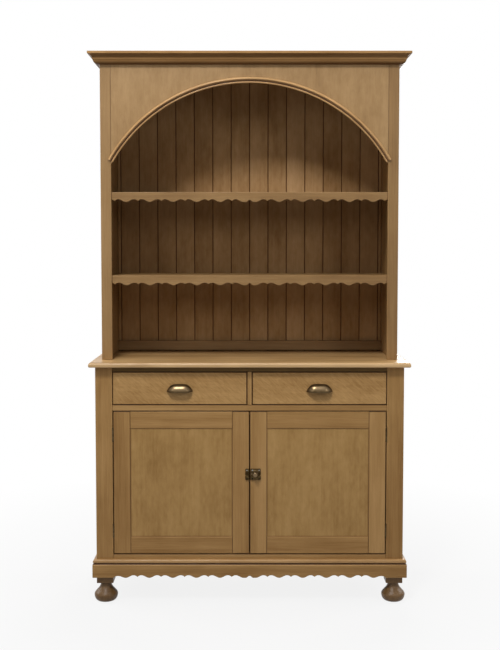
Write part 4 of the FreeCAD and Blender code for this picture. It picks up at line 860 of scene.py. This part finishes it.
# Plate rack: two board sides standing on the worktop on dowels, narrow stiles on their front edges, two
# shelves housed in the sides, and a back of narrow bevelled boards with a low rail at its foot.
UPRIGHT_EASE = 0.003
FOOT_RAIL_EASE = 0.002
RACK_BACK_STRIP = 0.0745
SHELVES = ("lower_shelf", "upper_shelf")
rack_wood = timber("rack_wood", light=0.81, rough=0.46, wax=0.36, tint=(1.02, 1.0, 1.1))
back_boarding = timber("back_boarding", light=1.16, along="z", strip=RACK_BACK_STRIP, mottle=0.4, rough=0.55,
                       streaks=0.4, wax=0.12, tint=(0.98, 1.0, 1.3))
rack_left, rack_right = sides_of("rack_sides")
piece("rack_side_boards", [eased_board(low, high, "z") for low, high in (rack_left, rack_right)],
      rack_wood, "polished_wood", "dresser", "rack_sides")
upright_left, upright_right = sides_of("rack_stiles")
piece("rack_front_uprights",
      [eased_board(low, high, "z", UPRIGHT_EASE) for low, high in (upright_left, upright_right)],
      rack_wood, "polished_wood", "dresser", "rack_stiles")
rack_inner = rack_right[0][0]
rack_half = rack_right[1][0]
rack_opening = upright_right[0][0]
rack_front = upright_right[0][1]
rack_frame_back = upright_right[1][1]
for shelf in SHELVES:
    low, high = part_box(shelf)
    piece(f"{shelf}_board", [eased_board((-rack_inner, low.y, low.z), (rack_inner, high.y, high.z), "x")],
          rack_wood, "polished_wood", "dresser", shelf)
rail_low, rail_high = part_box("rack_back_rail")
piece("rack_foot_rail", [eased_board(rail_low, rail_high, "x", FOOT_RAIL_EASE)], rack_wood, "back_boarding",
      "dresser", "rack_back_rail")
refinish(back_boarding, "rack_back_boards")

# Shelf edgings: a thin scalloped strip glued along the front of each shelf between the stiles, flush with the
# shelf's top, with the same lobes and cusps as the plinth.
EDGING_HIGH = 0.037
EDGING_EASE = 0.0018
edging_low, edging_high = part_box("shelf_edgings")
edging_runs = edge_stations(rack_opening)
edgings = []
for shelf in SHELVES:
    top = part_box(shelf)[1].z
    edge = top - EDGING_HIGH + scallop_rise(edging_runs)
    edgings.append(shaped_board(edging_runs, edge, top, edging_low.y, edging_high.y, EDGING_EASE))
piece("scalloped_shelf_edgings", edgings, rack_wood, "polished_wood", "dresser", "shelf_edgings")

# Frieze: one wide board sawn to an arch between the stiles, with a moulding of a bead, a groove and a larger
# round bent along the sawn edge and pinned to its face.
FRIEZE_CROWN = 0.090
FRIEZE_EASE = 0.001
FRIEZE_JOINT = 0.0015
BEAD_LAP = 0.003
BEAD = 0.0055
BEAD_BOW = 0.28
GROOVE = 0.0040
GROOVE_FLOOR = 0.0006
ROUND = 0.0120
ROUND_BOW = 0.41
ROUND_STAND = 0.003
ROUND_PAINTED_SHADE = -0.4
SHADED_TO = 0.42
HIGHLIGHT_FROM = 0.5
frieze_wood = timber("frieze_wood", light=0.92, mottle=0.4, rough=0.48, streaks=0.25, wax=0.45,
                     tint=(1.0, 1.0, 1.12))
frieze_low, frieze_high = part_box("arch_frieze")
arch_rise = frieze_high.z - FRIEZE_CROWN - frieze_low.z
arch_radius = (rack_opening ** 2 + arch_rise ** 2) / (2 * arch_rise)
arch_middle = frieze_high.z - FRIEZE_CROWN - arch_radius
foot_angle = math.asin((frieze_low.z - arch_middle) / arch_radius)
sweep = np.linspace(math.pi - foot_angle, foot_angle, 161)
arch_runs = np.concatenate([[-rack_opening, FRIEZE_JOINT - rack_opening], arch_radius * np.cos(sweep[1:-1]),
                            [rack_opening - FRIEZE_JOINT, rack_opening]])
arch_edge = arch_middle + np.sqrt(arch_radius ** 2 - arch_runs ** 2)
frieze = shaped_board(arch_runs, arch_edge, frieze_high.z, rack_front, rack_frame_back, FRIEZE_EASE,
                      along="z")
piece("arched_frieze", [frieze], frieze_wood, "polished_wood", "dresser", "arch_frieze")
bead_inner = arch_radius - BEAD_LAP
bead_outer = bead_inner + BEAD
round_inner = bead_outer + GROOVE
round_outer = round_inner + ROUND


def bent_moulding(section, middle, face, angles):
    """A moulding bent round an arch: its section of (reach, radius) turned from angle to angle. The inner
    part of its large round is painted brown as shade, and the outer half is rubbed bare with a painted
    highlight."""
    reach, radius = section.T
    rings = np.empty((len(angles), len(section), 3))
    rings[:, :, 0] = radius * np.cos(angles)[:, None]
    rings[:, :, 1] = face - reach
    rings[:, :, 2] = middle + radius * np.sin(angles)[:, None]
    over_round = (radius - round_inner) / ROUND
    painted_shade = (reach > GROOVE_FLOOR) & (radius > bead_outer + GROOVE / 2) & (over_round < SHADED_TO)
    wear_and_painted_light = np.where(painted_shade, ROUND_PAINTED_SHADE, section_wear_and_shade(section))
    return rings, np.where(over_round > HIGHLIGHT_FROM, RUB_AND_PAINTED_HIGHLIGHT, wear_and_painted_light), "x"


arch_section = np.concatenate([
    [(0.0, bead_inner)], arc_between((ROUND_STAND, bead_inner), (ROUND_STAND, bead_outer), BEAD_BOW),
    [(GROOVE_FLOOR, bead_outer), (GROOVE_FLOOR, round_inner)],
    arc_between((ROUND_STAND, round_inner), (ROUND_STAND, round_outer), ROUND_BOW, 9), [(0.0, round_outer)]])
end_angle = math.asin((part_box("arch_moulding")[0].z - arch_middle) / bead_inner)
arch_angles = np.linspace(math.pi - end_angle, end_angle, 121)
piece("arch_bead_moulding", [bent_moulding(arch_section, arch_middle, rack_front, arch_angles)],
      moulding_wood, "polished_wood", "dresser", "arch_moulding")

# Cornice and top board: a board closes the rack, and a moulding of a hollow over a round is mitred round its
# front and ends under a square fillet. The round and the foot of the moulding are painted dark as shade.
ROUND_TOP = 0.0172
FOOT_TOP = 0.010
CORNICE_PAINTED_SHADE = 0.7
cornice_wood = timber("cornice_wood", light=0.9, rough=0.40, wax=0.07, tint=(1.06, 1.0, 1.12))
cornice_section = MM * np.concatenate([
    [(-4, 0), (5.4, 0), (6, 0.6)], arc_between((6, 0.6), (22, 15), 0.2)[1:],
    [(22, 17), (23.4, 17), (24, 17.6)], arc_between((24, 17.6), (38, 35), -0.2)[1:],
    [(39.4, 35), (40, 35.6), (40, 43), (39, 44), (-4, 44)]])
cornice_rise = cornice_section[:, 1]
# Painted shade on the round, deepest at the foot of the moulding.
foot_share = np.clip(1 - cornice_rise / FOOT_TOP, 0.0, 1.0)
cornice_shade = np.where(cornice_rise < ROUND_TOP, CORNICE_PAINTED_SHADE * (1 + foot_share), 0.0)
cornice_low, cornice_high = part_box("cornice")
piece("mitred_cornice",
      moulding_lengths(cornice_section, rack_half, rack_front, cornice_high.y, cornice_low.z, cornice_shade),
      cornice_wood, "polished_wood", "dresser", "cornice")
refinish(inside_long, "rack_top_board")

# Floor, light and camera: a pale floor and backdrop, a key lamp high in front and a little to the left,
# weaker soft lamps above, in front, behind and at both sides, and a camera at the height of the shelves,
# tipped slightly down.
WHITE = (1.0, 1.0, 1.0, 1.0)
FLOOR_GREY = (0.5, 0.5, 0.5, 1.0)
FLOOR_REACH = 9.0
SHADOW_TO = 0.7
WHITE_FROM = 2.0
WHITE_SHARE = 0.86
FILL = 0.01
DRESSER_MIDDLE = (0.0, -0.1, 1.2)
CAMERA_TIP = math.radians(3.28)


def seen_directly(tree):
    """One for what the camera, a reflection or a refraction sees, and nought for what lights the object."""
    path = tree.nodes.new("ShaderNodeLightPath")
    seen = path.outputs["Is Camera Ray"]
    for ray in ("Is Glossy Ray", "Is Transmission Ray"):
        either = tree.nodes.new("ShaderNodeMath")
        either.operation = "MAXIMUM"
        tree.links.new(seen, either.inputs[0])
        tree.links.new(path.outputs[ray], either.inputs[1])
        seen = either.outputs[0]
    return seen


pale = Finish("pale_floor")
pale.set(pale.shader, {"Base Color": FLOOR_GREY, "Roughness": 0.9, "Specular IOR Level": 0.0})
glow = pale.add("Emission", {"Color": WHITE, "Strength": 1.0})
away = pale.add("VectorMath", {0: pale.add("TexCoord", {}, "Object")}, "Value", operation="LENGTH")
whiter = pale.spread(away, SHADOW_TO, WHITE_FROM, WHITE_SHARE, 1.0)
share = pale.times(seen_directly(pale.tree), whiter)
surface = pale.add("MixShader", {0: share, 1: pale.shader.outputs[0], 2: glow})
pale.tree.links.new(surface, pale.tree.nodes["Material Output"].inputs[0])
ground = bpy.data.meshes.new("studio_floor")
ground.from_pydata([(-FLOOR_REACH, -FLOOR_REACH, 0), (FLOOR_REACH, -FLOOR_REACH, 0),
                    (FLOOR_REACH, FLOOR_REACH, 0), (-FLOOR_REACH, FLOOR_REACH, 0)], [], [(0, 1, 2, 3)])
ground.materials.append(pale.material)
floor = bpy.data.objects.new("studio_floor", ground)
bpy.context.scene.collection.objects.link(floor)

world = bpy.data.worlds.new("studio")
bpy.context.scene.world = world
world.use_nodes = True
air = world.node_tree
fill = air.nodes["Background"]
fill.inputs["Color"].default_value = WHITE
fill.inputs["Strength"].default_value = FILL
backdrop = air.nodes.new("ShaderNodeBackground")
backdrop.inputs["Color"].default_value = WHITE
backdrop.inputs["Strength"].default_value = 1.0
either = air.nodes.new("ShaderNodeMixShader")
air.links.new(seen_directly(air), either.inputs[0])
air.links.new(fill.outputs[0], either.inputs[1])
air.links.new(backdrop.outputs[0], either.inputs[2])
air.links.new(either.outputs[0], air.nodes["World Output"].inputs[0])


def soft_lamp(name, spot, aim, wide, watts):
    """A square soft lamp at a spot, facing a point."""
    lamp = bpy.data.lights.new(name, "AREA")
    lamp.size = wide
    lamp.energy = watts
    hung = bpy.data.objects.new(name, lamp)
    bpy.context.scene.collection.objects.link(hung)
    away = np.array(spot) - np.array(aim)
    flat = math.hypot(away[0], away[1])
    hung.location = spot
    hung.rotation_euler = (math.atan2(flat, away[2]), 0.0, math.atan2(away[0], -away[1]))


soft_lamp("key_lamp", spot=(-0.8, -2.75, 4.4), aim=DRESSER_MIDDLE, wide=0.8, watts=115.0)
soft_lamp("top_lamp", spot=(-0.3, -0.6, 3.95), aim=DRESSER_MIDDLE, wide=1.5, watts=31.0)
for side in (-1, 1):
    soft_lamp("front_lamp", spot=(2.3 * side, -2.9, 2.4), aim=DRESSER_MIDDLE, wide=1.0, watts=16.0)
soft_lamp("back_lamp", spot=(0.7, 3.3, 2.7), aim=(0.0, 0.2, 1.1), wide=1.6, watts=85.0)
for side in (-1, 1):
    soft_lamp("side_lamp", spot=(3.4 * side, 1.0, 2.5), aim=(0.55 * side, 0.1, 1.1), wide=1.4, watts=60.0)

lens = bpy.data.cameras.new("camera")
lens.sensor_width = 36.0
lens.lens = 55.51
lens.shift_x = 0.0006
lens.shift_y = -0.0369
camera = bpy.data.objects.new("camera", lens)
camera.location = (0.0, -3.8742, 1.3426)
camera.rotation_euler = (math.pi / 2 - CAMERA_TIP, 0.0, 0.0)
bpy.context.scene.collection.objects.link(camera)
bpy.context.scene.camera = camera
bpy.context.scene.view_settings.view_transform = "Standard"
